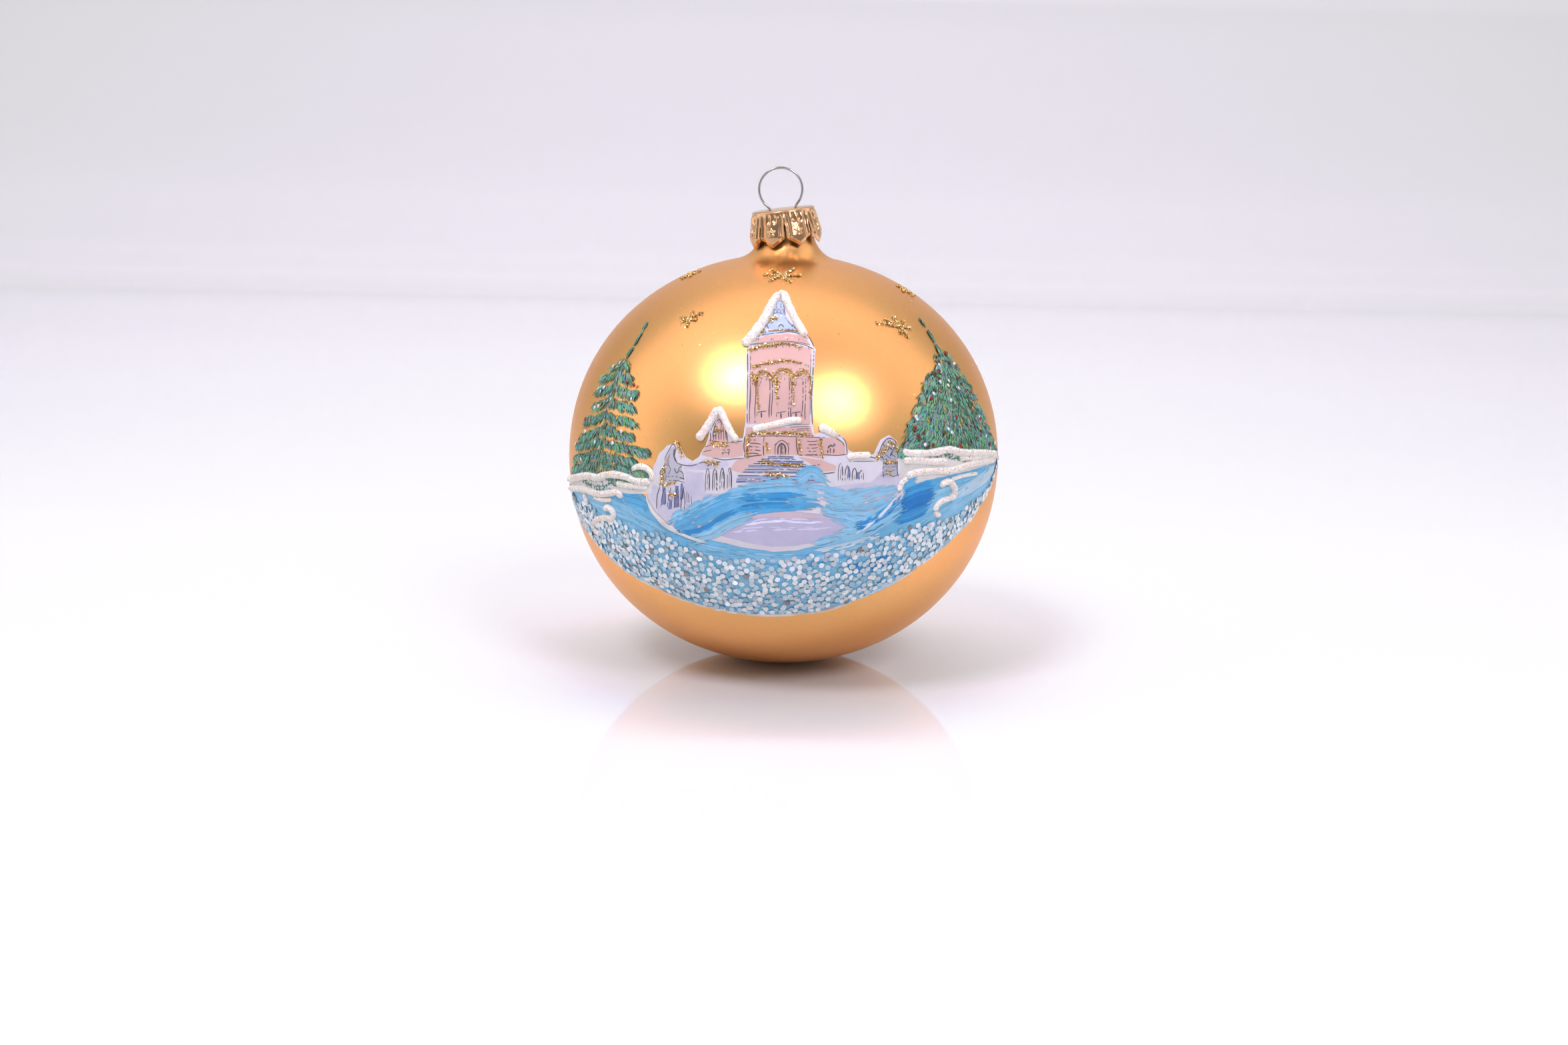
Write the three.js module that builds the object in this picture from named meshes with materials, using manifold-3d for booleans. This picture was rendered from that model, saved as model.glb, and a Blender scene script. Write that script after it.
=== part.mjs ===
// A painted glass Christmas ball that stands on its own bottom.
// Millimetres, +Z up. The origin is on the table under the middle of the ball,
// and the painted picture faces -Y.
import * as THREE from 'three';
import { mergeVertices } from 'three/addons/utils/BufferGeometryUtils.js';
import Module from 'manifold-3d';

const wasm = await Module();
wasm.setup();

// Driving dimensions
const BALL_RADIUS = 40;
const BALL_BELOW_EQUATOR = 38.35;
const BALL_ABOVE_EQUATOR = 37.7;
const BALL_SQUARENESS = 2.06; // 2 would be a plain ellipse
const BALL_SIDES = 56;
const FOOT_RADIUS = 4; // the bottom is flat this far out, so the ball stands
const GLASS_WALL = 0.6;
const NECK_RADIUS = 4.6;
const NECK_TOP = 82;
const FLARE_FOOT_RADIUS = 9.2;
const FLARE_TOP = 80;
const CAP_HEIGHT = 6.55;
const CAP_TOP_RADIUS = 5.7;
const CAP_SKIRT_RADIUS = 6.55;
const CAP_METAL = 0.25;
const CAP_TILT = 7.5; // degrees, the top leans towards -X
const CAP_TOP_CENTRE = [-0.9, 0, 84.35];
const PETALS = 8;
const PETAL_PITCH = 4.6;
const PETAL_POINT = 1.5; // height of the pointed end of a petal
const SLOT_HEIGHT = 4;
const SLOT_FOOT = 0.34;
const SLOT_TOP = 0.2;
const WIRE = 0.45;
const WIRE_HOLE = 1.1;
const LOOP_RADIUS = 3.95;
const WIRE_SPACING = 4.6; // between the two holes
const LEG_BOTTOM = 70;
const PAPER = 0.12; // thickness of paper and flat paint
const SKIN_GAP = 0.13; // between the glass and what is glued or painted on it
const EDGE_GAP = 0.3; // between one painted area and the next
const RELIEF_GAP = 0.4; // relief paste starts this far off the glass, over the paper
const SNOW_HEIGHT = 0.9;
const GLITTER_WIDTH = 0.7;
const GLITTER_HEIGHT = 0.45;
const STAR_ARMS = 6;
const STAR_REACH = 2.5;
const STAR_NOTCH = 0.75;
const SEQUIN_LAYER = 0.45;
const TREE_PAINT = 0.5;

const EQUATOR = BALL_BELOW_EQUATOR;
const MM_PER_DEGREE = (Math.PI * BALL_RADIUS) / 180;
const radians = THREE.MathUtils.degToRad;
const ornament = new THREE.Group();

function finish(color, roughness, metalness = 0) {
  return new THREE.MeshStandardMaterial({ color, roughness, metalness });
}

const goldLacquer = finish('#d99a55', 0.35, 0.7);
const goldCap = finish('#c98a5e', 0.18, 1);
const steelWire = finish('#b9bac0', 0.25, 1);
const paper = finish('#e3d3da', 0.6);
const bluePaint = finish('#4c9fd2', 0.35);
const sequins = finish('#c9cdd2', 0.3, 0.4);
const greenPaint = finish('#3e7f68', 0.5);
const snowPaste = finish('#f1f0f0', 0.6);
const goldGlitter = finish('#b49a62', 0.35, 0.8);

function add(name, geometry, material, parent = ornament) {
  const mesh = new THREE.Mesh(geometry, material.clone());
  mesh.name = name;
  parent.add(mesh);
  return mesh;
}

function geometryFrom(points, triangles) {
  const geometry = new THREE.BufferGeometry();
  const numbers = points.flatMap((p) => [p.x, p.y, p.z]);
  geometry.setAttribute('position', new THREE.Float32BufferAttribute(numbers, 3));
  geometry.setIndex(triangles.flat());
  return geometry;
}

function solidOf(geometry) {
  const bare = geometry.clone();
  bare.deleteAttribute('normal');
  bare.deleteAttribute('uv');
  const merged = mergeVertices(bare, 1e-4);
  return new wasm.Manifold(new wasm.Mesh({
    numProp: 3,
    vertProperties: new Float32Array(merged.attributes.position.array),
    triVerts: new Uint32Array(merged.index.array),
  }));
}

function geometryOf(solid) {
  const { vertProperties, triVerts } = solid.getMesh();
  const geometry = new THREE.BufferGeometry();
  geometry.setAttribute('position', new THREE.BufferAttribute(vertProperties, 3));
  geometry.setIndex(new THREE.BufferAttribute(triVerts, 1));
  return geometry;
}

// The ball's outline: its radius at each height, and the point on it that is
// turned a number of degrees from the front and raised a little off the glass.
function ballRadius(height) {
  const reach = height < EQUATOR ? BALL_BELOW_EQUATOR : BALL_ABOVE_EQUATOR;
  const share = Math.min(1, Math.abs(height - EQUATOR) / reach);
  return BALL_RADIUS * (1 - share ** BALL_SQUARENESS) ** (1 / BALL_SQUARENESS);
}

function onBall(turn, height, lift = 0) {
  const step = 0.05;
  const slope = (ballRadius(height + step) - ballRadius(height - step)) / (2 * step);
  const scale = lift / Math.hypot(1, slope);
  const radius = ballRadius(height) + scale;
  const angle = radians(turn);
  const rise = height - slope * scale;
  return new THREE.Vector3(radius * Math.sin(angle), -radius * Math.cos(angle), rise);
}

// Glass ball

function glassBall() {
  const outer = [new THREE.Vector2(0, 0), new THREE.Vector2(FOOT_RADIUS, 0)];
  const rings = 22;
  const flareShare = (1 - (FLARE_FOOT_RADIUS / BALL_RADIUS) ** BALL_SQUARENESS) ** (1 / BALL_SQUARENESS);
  const lowest = Math.acos(FOOT_RADIUS / BALL_RADIUS);
  const highest = Math.asin(flareShare);
  for (let i = 1; i <= rings; i += 1) {
    const angle = -lowest + (i / rings) * (lowest + highest);
    const reach = angle < 0 ? BALL_BELOW_EQUATOR : BALL_ABOVE_EQUATOR;
    const height = EQUATOR + reach * Math.sin(angle);
    outer.push(new THREE.Vector2(ballRadius(height), height));
  }
  const foot = outer[outer.length - 1];
  const flare = new THREE.CubicBezierCurve(
    foot,
    new THREE.Vector2(7.4, foot.y + 0.5),
    new THREE.Vector2(5.75, foot.y + 1.4),
    new THREE.Vector2(NECK_RADIUS, FLARE_TOP),
  );
  outer.push(...flare.getPoints(6).slice(1));
  outer.push(new THREE.Vector2(NECK_RADIUS, NECK_TOP));
  const inner = outer.slice(1).map((point, i, list) => {
    const before = list[Math.max(0, i - 1)];
    const after = list[Math.min(list.length - 1, i + 1)];
    const along = after.clone().sub(before).normalize();
    return new THREE.Vector2(point.x - along.y * GLASS_WALL, point.y + along.x * GLASS_WALL);
  });
  inner[inner.length - 1].set(NECK_RADIUS - GLASS_WALL, NECK_TOP);
  inner[0].set(FOOT_RADIUS, GLASS_WALL);
  const profile = [...outer, ...inner.reverse(), new THREE.Vector2(0, GLASS_WALL)];
  const lathe = new THREE.LatheGeometry(profile, BALL_SIDES);
  lathe.rotateX(Math.PI / 2);
  return lathe;
}

add('glass_ball', glassBall(), goldLacquer);

// Cap and hanger, both leaning with the crooked cap

function capShell() {
  const skirt = [
    new THREE.Vector2(CAP_SKIRT_RADIUS - 0.1, -CAP_HEIGHT),
    new THREE.Vector2(CAP_SKIRT_RADIUS, -CAP_HEIGHT + 1.4),
    new THREE.Vector2(CAP_SKIRT_RADIUS - 0.1, -CAP_HEIGHT + 2.2),
    new THREE.Vector2(CAP_TOP_RADIUS + 0.1, -2),
    new THREE.Vector2(CAP_TOP_RADIUS, -0.45),
    new THREE.Vector2(CAP_TOP_RADIUS - 0.15, -0.15),
    new THREE.Vector2(CAP_TOP_RADIUS - 0.45, 0),
  ];
  const lining = skirt.slice(0, 5).map((point) => new THREE.Vector2(point.x - CAP_METAL, point.y));
  lining.push(new THREE.Vector2(CAP_TOP_RADIUS - CAP_METAL - 0.2, -CAP_METAL));
  const middle = [new THREE.Vector2(0, 0), new THREE.Vector2(0, -CAP_METAL)];
  const profile = [...skirt, ...middle, ...lining.reverse(), skirt[0].clone()];
  const lathe = new THREE.LatheGeometry(profile, 48);
  lathe.rotateX(Math.PI / 2);
  let shell = solidOf(lathe);
  // What is cut away between two petals: a slot that widens to the pointed tips
  const between = new THREE.Shape([
    new THREE.Vector2(-PETAL_PITCH / 2, -CAP_HEIGHT - 1),
    new THREE.Vector2(PETAL_PITCH / 2, -CAP_HEIGHT - 1),
    new THREE.Vector2(PETAL_PITCH / 2, -CAP_HEIGHT),
    new THREE.Vector2(SLOT_FOOT / 2, -CAP_HEIGHT + PETAL_POINT),
    new THREE.Vector2(SLOT_TOP / 2, -CAP_HEIGHT + SLOT_HEIGHT),
    new THREE.Vector2(-SLOT_TOP / 2, -CAP_HEIGHT + SLOT_HEIGHT),
    new THREE.Vector2(-SLOT_FOOT / 2, -CAP_HEIGHT + PETAL_POINT),
    new THREE.Vector2(-PETAL_PITCH / 2, -CAP_HEIGHT),
  ]);
  const cut = 4; // longer than the metal is thick, so it goes right through
  for (let i = 0; i < PETALS; i += 1) {
    const slot = new THREE.ExtrudeGeometry(between, { depth: cut, bevelEnabled: false });
    slot.rotateX(Math.PI / 2);
    slot.translate(0, CAP_SKIRT_RADIUS + cut / 2, 0);
    slot.rotateZ((i * 2 * Math.PI) / PETALS);
    shell = shell.subtract(solidOf(slot));
  }
  for (const side of [-1, 1]) {
    const hole = new THREE.CylinderGeometry(WIRE_HOLE / 2, WIRE_HOLE / 2, 2, 16);
    hole.rotateX(Math.PI / 2);
    hole.translate((side * WIRE_SPACING) / 2, 0, 0);
    shell = shell.subtract(solidOf(hole));
  }
  return geometryOf(shell);
}

const seat = new THREE.Group();
seat.position.set(...CAP_TOP_CENTRE);
seat.rotation.y = -radians(CAP_TILT);
ornament.add(seat);
add('cap', capShell(), goldCap, seat);

// The wire runs up one leg, round the loop and down the other leg. The legs
// hang straight in the neck, whatever the cap's lean.
function hangerWire() {
  const lean = radians(CAP_TILT);
  const inSeat = (x, z) => new THREE.Vector3(
    CAP_TOP_CENTRE[0] + x * Math.cos(lean) - z * Math.sin(lean),
    0,
    CAP_TOP_CENTRE[2] + x * Math.sin(lean) + z * Math.cos(lean),
  );
  const centre = Math.sqrt(LOOP_RADIUS ** 2 - (WIRE_SPACING / 2) ** 2) + 0.35;
  const open = Math.asin(WIRE_SPACING / 2 / LOOP_RADIUS) + 0.12;
  const route = [
    new THREE.Vector3(-2.95, 0, LEG_BOTTOM),
    new THREE.Vector3(-3, 0, 76),
    new THREE.Vector3(-3, 0, 80.5),
    inSeat(-WIRE_SPACING / 2, -0.9),
    inSeat(-WIRE_SPACING / 2, 0),
  ];
  const steps = 16;
  for (let i = 0; i <= steps; i += 1) {
    const angle = -Math.PI / 2 - open - (i / steps) * (2 * Math.PI - 2 * open);
    route.push(inSeat(LOOP_RADIUS * Math.cos(angle), centre + LOOP_RADIUS * Math.sin(angle)));
  }
  route.push(
    inSeat(WIRE_SPACING / 2, 0),
    inSeat(WIRE_SPACING / 2, -0.9),
    new THREE.Vector3(2.5, 0, 80.8),
    new THREE.Vector3(2.95, 0, 78),
    new THREE.Vector3(2.95, 0, LEG_BOTTOM),
  );
  const section = new THREE.Shape();
  section.absarc(0, 0, WIRE / 2, 0, 2 * Math.PI);
  return new THREE.ExtrudeGeometry(section, {
    steps: 70,
    curveSegments: 4,
    bevelEnabled: false,
    extrudePath: new THREE.CatmullRomCurve3(route),
  });
}

add('hanger_wire', hangerWire(), steelWire);

// Flat skins. A skin covers the ball between two edges, each a function that
// gives [turn, height] for a share of the way along, and has a short wall round it.
function skin(edges, { along, across, lift = SKIN_GAP, thickness = PAPER }) {
  const points = [];
  const triangles = [];
  const columns = across + 1;
  const layer = (along + 1) * columns;
  for (const height of [lift, lift + thickness]) {
    for (let i = 0; i <= along; i += 1) {
      const [low, high] = edges(i / along);
      for (let j = 0; j <= across; j += 1) {
        const turn = THREE.MathUtils.lerp(low[0], high[0], j / across);
        const rise = THREE.MathUtils.lerp(low[1], high[1], j / across);
        points.push(onBall(turn, rise, height));
      }
    }
  }
  const square = (a, b, c, d) => triangles.push([a, b, c], [a, c, d]);
  for (let i = 0; i < along; i += 1) {
    for (let j = 0; j < across; j += 1) {
      const a = i * columns + j;
      square(a, a + 1, a + columns + 1, a + columns);
      square(layer + a, layer + a + columns, layer + a + columns + 1, layer + a + 1);
    }
    const low = i * columns;
    const high = low + across;
    square(low, low + columns, layer + low + columns, layer + low);
    square(high, layer + high, layer + high + columns, high + columns);
  }
  for (let j = 0; j < across; j += 1) {
    const last = along * columns + j;
    square(j, layer + j, layer + j + 1, j + 1);
    square(last, last + 1, layer + last + 1, layer + last);
  }
  return geometryFrom(points, triangles);
}

// A height that goes from one named point to the next, each [turn, height].
function heightAt(line, turn) {
  const next = line.findIndex((point) => point[0] >= turn);
  if (next === 0) return line[0][1];
  if (next < 0) return line[line.length - 1][1];
  const [a, b] = [line[next - 1], line[next]];
  return THREE.MathUtils.mapLinear(turn, a[0], b[0], a[1], b[1]);
}

// The picture's skyline, from the fountain past the gabled house, the tower,
// its side house and the garden wall to the pavilion, over the shore.
const skyline = [
  [-35, 37], [-33, 41.5], [-28, 46.5], [-24, 43], [-20, 50], [-17, 53], [-13, 50], [-12, 50.5], [-11, 62.5],
  [-0.5, 69], [9.5, 62.8], [10.3, 49], [14, 48], [22, 44.7], [24, 45], [27, 47.5], [30.5, 45.5], [34, 38.4],
];
const shore = [
  [-77, 35], [-50, 34.2], [-36, 33.8], [-20, 36.6], [-8, 38.8],
  [8, 39], [20, 37], [36, 36.6], [62, 38.2], [71, 38.6],
];
const waterEdge = [
  [-79, 31.6], [-70, 31.2], [-48, 29], [-34, 28.4], [-11, 26.7],
  [11, 27.2], [34, 31.4], [56, 34.2], [74, 37.4],
];
const sequinEdge = [
  [-73, 29.8], [-62, 26.8], [-52, 23.4], [-28, 17.8], [0, 16.4],
  [20, 18.7], [41, 24.2], [60, 30.5], [78, 36],
];

function band(lower, upper, gap = EDGE_GAP) {
  const corner = ([turn, height]) => new THREE.Vector2(turn * MM_PER_DEGREE, height);
  const top = new THREE.Path(upper.map(corner));
  return (share) => {
    const point = top.getPointAt(share);
    const turn = point.x / MM_PER_DEGREE;
    return [[turn, heightAt(lower, turn) + gap / 2], [turn, point.y - gap / 2]];
  };
}

add('picture_paper', skin(band(shore, skyline), { along: 50, across: 9 }), paper);
add('water_paint', skin(band(waterEdge, shore), { along: 38, across: 3 }), bluePaint);
const sequinSkin = { along: 38, across: 4, thickness: SEQUIN_LAYER };
add('sequin_band', skin(band(sequinEdge, waterEdge), sequinSkin), sequins);

const patchTop = [[-18, 29.9], [-10, 34.2], [0, 35], [12, 35], [18, 32.4]];
const patchBottom = [[-18, 29.5], [-2, 28], [8, 29], [18, 31.8]];
const patchSkin = { along: 16, across: 3, lift: RELIEF_GAP };
add('plain_patch', skin(band(patchBottom, patchTop, 0), patchSkin), paper);

// Trees: a leaning leader and drooping bough layers, wider towards the base.
function tree(topTurn, baseTurn, { top, base, halfWidth, layers }) {
  return (share) => {
    const height = THREE.MathUtils.lerp(base, top, share);
    const middle = THREE.MathUtils.lerp(baseTurn, topTurn, share);
    const layer = (1 - share) * layers;
    const ragged = 0.72 + 0.28 * (layer - Math.floor(layer));
    const half = 1 + halfWidth * (1 - share) ** 0.8 * ragged;
    return [[middle + half, height], [middle - half, height]];
  };
}

const treeSkin = { along: 30, across: 5, thickness: TREE_PAINT };
const leftTree = tree(-56, -56.5, { top: 64.5, base: 40.6, halfWidth: 19, layers: 6 });
const rightTree = tree(60, 53.5, { top: 65.5, base: 45.8, halfWidth: 20, layers: 6 });
add('left_tree', skin(leftTree, treeSkin), greenPaint);
add('right_tree', skin(rightTree, treeSkin), greenPaint);

// Relief lines. A line of paste runs over the ball through [turn, height]
// points, with a domed section that is flat underneath, and closes at its ends.
function relief(line, { width, height, lift = RELIEF_GAP, steps = 8, swell = [1, 1] }) {
  const knots = line.map(([turn, rise]) => onBall(turn, rise));
  const route = new THREE.CatmullRomCurve3(knots, false, 'centripetal');
  const dome = 5;
  const ring = dome + 1;
  const points = [];
  const triangles = [];
  for (let i = 0; i <= steps; i += 1) {
    const share = i / steps;
    const centre = route.getPoint(share);
    const along = route.getTangent(share);
    const out = new THREE.Vector3(centre.x, centre.y, centre.z - EQUATOR).normalize();
    const side = new THREE.Vector3().crossVectors(out, along).normalize();
    const taper = Math.sqrt(Math.min(1, 0.3 + 3 * share, 0.3 + 3 * (1 - share)));
    const scale = taper * THREE.MathUtils.lerp(swell[0], swell[1], share);
    for (let j = 0; j <= dome; j += 1) {
      const angle = (j / dome) * Math.PI;
      const across = (Math.cos(angle) * width * scale) / 2;
      const rise = lift + Math.sin(angle) * height * scale;
      points.push(centre.clone().addScaledVector(side, across).addScaledVector(out, rise));
    }
  }
  for (let i = 0; i < steps; i += 1) {
    for (let j = 0; j < ring; j += 1) {
      const a = i * ring + j;
      const b = i * ring + ((j + 1) % ring);
      triangles.push([a, b, b + ring], [a, b + ring, a + ring]);
    }
  }
  const last = steps * ring;
  for (let j = 1; j < dome; j += 1) {
    triangles.push([0, j + 1, j], [last, last + j, last + j + 1]);
  }
  return geometryFrom(points, triangles);
}

const snowLines = {
  tower_roof_snow: [[[-11.5, 62.8], [-6, 66], [-0.6, 70.3], [3.5, 67], [7.8, 63.8]], 1.5, { steps: 12 }],
  gable_snow: [[[-21, 47.6], [-19, 50.5], [-16.8, 53.4], [-14, 51], [-11.2, 47.4]], 1.3, { steps: 12 }],
  ledge_snow: [[[-7, 49.1], [-1, 49.7], [4.4, 50.6]], 1.1],
  side_house_snow: [[[9.4, 49.8], [12, 49], [13.8, 48.1]], 1, { swell: [1.2, 0.8] }],
  wall_snow: [[[16.8, 44.8], [19.5, 45.1], [22.2, 44.5]], 1.2],
  left_bank_snow_upper: [[[-76, 38.4], [-62, 39.4], [-48, 39.4], [-37, 39.2]], 1.6, { steps: 12 }],
  left_bank_snow_lower: [[[-77, 36.6], [-64, 36.9], [-53, 36.4], [-44, 36.7]], 1.4, { steps: 12 }],
  left_snow_drip: [[[-50, 33.2], [-54, 31.8], [-58.5, 30.6]], 1.4, { swell: [1.3, 0.6] }],
  right_bank_snow_upper: [[[33, 44.3], [42, 44], [52, 43.6], [66, 43], [73, 42]], 1.9, { steps: 16 }],
  right_bank_snow_lower: [[[33.5, 41.4], [42, 41], [52, 40.6], [66, 40.6]], 1.7, { steps: 12 }],
  right_snow_drip: [
    [[45.2, 38.1], [47.5, 36.4], [44.2, 35], [42.6, 33.6]], 1.5, { swell: [1.5, 0.8], steps: 12 },
  ],
  right_snow_arm: [[[50, 38.3], [54, 38.2], [58.5, 38.4]], 0.9],
};
for (const [name, [line, width, extra = {}]] of Object.entries(snowLines)) {
  add(name, relief(line, { width, height: SNOW_HEIGHT, ...extra }), snowPaste);
}

// Gold glitter glue: lines on the buildings, and six-armed stars.
const glitter = { width: GLITTER_WIDTH, height: GLITTER_HEIGHT, steps: 6 };
const glitterLines = {
  cornice_glitter: [[-10.6, 61.5], [0, 63.4], [9, 61.8]],
  arcade_glitter: [[-9.8, 59.3], [0, 60.4], [6.5, 59.9]],
  arch_glitter_left: [[-7.5, 57.8], [-7.3, 55.8]],
  arch_glitter_middle: [[-2, 58], [-2.1, 55.4]],
  arch_glitter_right: [[4.2, 58], [4.1, 55.6]],
  ledge_glitter: [[-8.5, 48], [0, 48.4], [7, 48]],
  upper_step_glitter: [[-4, 43.6], [0.5, 43.9], [4, 43.6]],
  lower_step_glitter: [[-7, 41.6], [-1, 41.9], [4, 41.6]],
  gable_glitter: [[-19.5, 46.3], [-13.5, 46.4]],
  fountain_glitter: [[-28, 44.8], [-25.2, 43.3]],
  pavilion_glitter: [[23.8, 43.2], [27, 45.4], [30.2, 44]],
};
for (const [name, line] of Object.entries(glitterLines)) {
  add(name, relief(line, glitter), goldGlitter);
}

function star(turn, height) {
  const outline = [];
  for (let i = 0; i < 2 * STAR_ARMS; i += 1) {
    const angle = (i * Math.PI) / STAR_ARMS + 0.2;
    const reach = i % 2 ? STAR_NOTCH : STAR_REACH;
    outline.push(new THREE.Vector2(reach * Math.cos(angle), reach * Math.sin(angle)));
  }
  const solid = { depth: GLITTER_HEIGHT, bevelEnabled: false };
  const flat = new THREE.ExtrudeGeometry(new THREE.Shape(outline), solid);
  const centre = onBall(turn, height, RELIEF_GAP);
  const outward = onBall(turn, height, 1).sub(onBall(turn, height));
  const ahead = centre.clone().add(outward);
  const up = new THREE.Vector3(0, 0, 1);
  return flat.applyMatrix4(new THREE.Matrix4().lookAt(ahead, centre, up).setPosition(centre));
}

// The first five are on the front half, the last four on the back.
const stars = [
  [-4, 73.3], [-38, 66.2], [43.7, 65.4], [-78, 72.2], [79, 70.1],
  [118, 62], [160, 68], [-150, 60], [-112, 66],
];
stars.forEach(([turn, height], i) => add(`star_${i + 1}`, star(turn, height), goldGlitter));

export default ornament;
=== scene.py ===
"""A hand painted glass Christmas ball on a pale studio sweep.

Drawing is done in millimetres, as turn and height on the ball or as x and height
on the picture, and each mesh is scaled to metres as it is made.
"""
import math
import random

import bpy
from mathutils import Matrix, Vector, noise
from mathutils.geometry import delaunay_2d_cdt


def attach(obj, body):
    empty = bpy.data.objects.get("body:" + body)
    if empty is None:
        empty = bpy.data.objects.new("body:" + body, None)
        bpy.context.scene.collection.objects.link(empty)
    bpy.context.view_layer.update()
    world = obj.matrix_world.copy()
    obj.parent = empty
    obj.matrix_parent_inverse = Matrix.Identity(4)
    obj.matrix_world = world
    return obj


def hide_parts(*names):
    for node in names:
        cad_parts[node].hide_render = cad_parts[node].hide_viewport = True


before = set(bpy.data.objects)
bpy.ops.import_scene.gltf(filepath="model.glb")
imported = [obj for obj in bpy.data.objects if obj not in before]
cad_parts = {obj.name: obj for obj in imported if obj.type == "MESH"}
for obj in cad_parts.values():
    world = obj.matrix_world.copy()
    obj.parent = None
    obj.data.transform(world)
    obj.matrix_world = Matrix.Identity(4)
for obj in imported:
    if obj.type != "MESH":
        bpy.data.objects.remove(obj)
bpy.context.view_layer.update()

# ---------------------------------------------------------------------------
# Studio: a sheet of glossy white acrylic bent up into a backdrop, two softboxes
# in front of the ball, one over it, and a bright room all round but in front.
# ---------------------------------------------------------------------------
MM = 0.001


def srgb(code, alpha=1.0):
    """An sRGB hex colour as the linear numbers that a shader takes."""
    parts = [int(code[i:i + 2], 16) / 255 for i in (1, 3, 5)]
    return [c / 12.92 if c <= 0.04045 else ((c + 0.055) / 1.055) ** 2.4 for c in parts] + [alpha]


def add_node(tree, kind, settings=None, links=None):
    """Adds a node, sets its properties and sockets, and links sockets to other nodes' outputs."""
    node = tree.nodes.new(kind)
    for key, value in (settings or {}).items():
        if isinstance(key, str) and hasattr(node, key):
            setattr(node, key, value)
        else:
            node.inputs[key].default_value = value
    for key, output in (links or {}).items():
        tree.links.new(output, node.inputs[key])
    return node


def new_material(name, **settings):
    """A material with one Principled shader, and that shader. Settings name its sockets."""
    material = bpy.data.materials.new(name)
    material.use_nodes = True
    shader = material.node_tree.nodes["Principled BSDF"]
    for key, value in settings.items():
        shader.inputs[key.replace("_", " ")].default_value = value
    return material, shader


def mesh_piece(name, points, faces, materials, finishes=None, tints=None, smooth=True):
    """Makes an object from points in millimetres, with a material and a colour for each face."""
    mesh = bpy.data.meshes.new(name)
    mesh.from_pydata([tuple(c * MM for c in p) for p in points], [], faces)
    for material in materials:
        mesh.materials.append(material)
    if finishes:
        mesh.polygons.foreach_set("material_index", finishes)
    if tints:
        layer = mesh.color_attributes.new("paint", "FLOAT_COLOR", "POINT")
        layer.data.foreach_set("color", [c for tint in tints for c in tint])
    mesh.polygons.foreach_set("use_smooth", [smooth] * len(mesh.polygons))
    mesh.validate()
    piece = bpy.data.objects.new(name, mesh)
    bpy.context.collection.objects.link(piece)
    return piece


def studio_sweep():
    half_width, near, bend_start, bend_radius, top = 2500, -3600, 700, 600, 2200
    outline = [(near, 0), (-300, 0), (300, 0), (bend_start, 0)]
    for i in range(1, 25):
        angle = math.radians(90 * i / 24)
        outline.append((bend_start + bend_radius * math.sin(angle), bend_radius * (1 - math.cos(angle))))
    outline.append((bend_start + bend_radius, top))
    points = [(x, y, z) for y, z in outline for x in (-half_width, half_width)]
    faces = [(2 * i, 2 * i + 1, 2 * i + 3, 2 * i + 2) for i in range(len(outline) - 1)]
    acrylic, shader = new_material(
        "cast_acrylic_sheet", Base_Color=srgb("#DEDFE0"), Roughness=0.05, Specular_IOR_Level=0.5)
    haze = add_node(acrylic.node_tree, "ShaderNodeTexNoise", {"Scale": 3.0, "Detail": 2.0})
    dulled = add_node(
        acrylic.node_tree, "ShaderNodeMapRange", {"To Min": 0.03, "To Max": 0.06},
        {"Value": haze.outputs["Fac"]})
    acrylic.node_tree.links.new(dulled.outputs["Result"], shader.inputs["Roughness"])
    sweep = mesh_piece("studio_sweep", points, faces, [acrylic])


def softbox(name, size, radiance, place, target=(0, 0, 40), tint="#FFFFFF", mirrored=True):
    """A rectangular lamp, as bright all over as so many times the white of the room."""
    light = bpy.data.lights.new(name, "AREA")
    light.shape, light.size, light.size_y = "RECTANGLE", size[0] * MM, size[1] * MM
    light.color = srgb(tint)[:3]
    light.energy = radiance * math.pi * light.size * light.size_y
    lamp = bpy.data.objects.new(name, light)
    lamp.visible_glossy = mirrored
    lamp.location = Vector(place) * MM
    lamp.rotation_euler = (Vector(place) - Vector(target)).to_track_quat("Z", "Y").to_euler()
    bpy.context.collection.objects.link(lamp)


def light_tent():
    """White cloth all round, with a dim opening in front of the ball for the camera."""
    world = bpy.data.worlds.new("light_tent")
    world.use_nodes = True
    tree = world.node_tree
    where = add_node(tree, "ShaderNodeTexCoord")
    opening = add_node(
        tree, "ShaderNodeVectorMath", {"operation": "DOT_PRODUCT", 1: (0.08, -0.98, 0.18)},
        {0: where.outputs["Generated"]})
    depth = add_node(
        tree, "ShaderNodeMapRange",
        {"interpolation_type": "SMOOTHSTEP", "From Min": -0.1, "From Max": 0.75, "To Min": 1.3,
         "To Max": 0.26},
        {"Value": opening.outputs["Value"]})
    background = tree.nodes["Background"]
    background.inputs["Color"].default_value = srgb("#FCFAFA")
    tree.links.new(depth.outputs["Result"], background.inputs["Strength"])
    bpy.context.scene.world = world


def studio_camera():
    camera = bpy.data.cameras.new("camera")
    camera.lens, camera.sensor_width = 50, 36
    holder = bpy.data.objects.new("camera", camera)
    look_down, roll = math.radians(11.27), math.radians(1.0)
    turn = Matrix.Rotation(math.pi / 2 - look_down, 4, "X") @ Matrix.Rotation(roll, 4, "Z")
    holder.matrix_world = Matrix.Translation(Vector((0.3, -403, 106)) * MM) @ turn
    bpy.context.collection.objects.link(holder)
    bpy.context.scene.camera = holder


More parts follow.
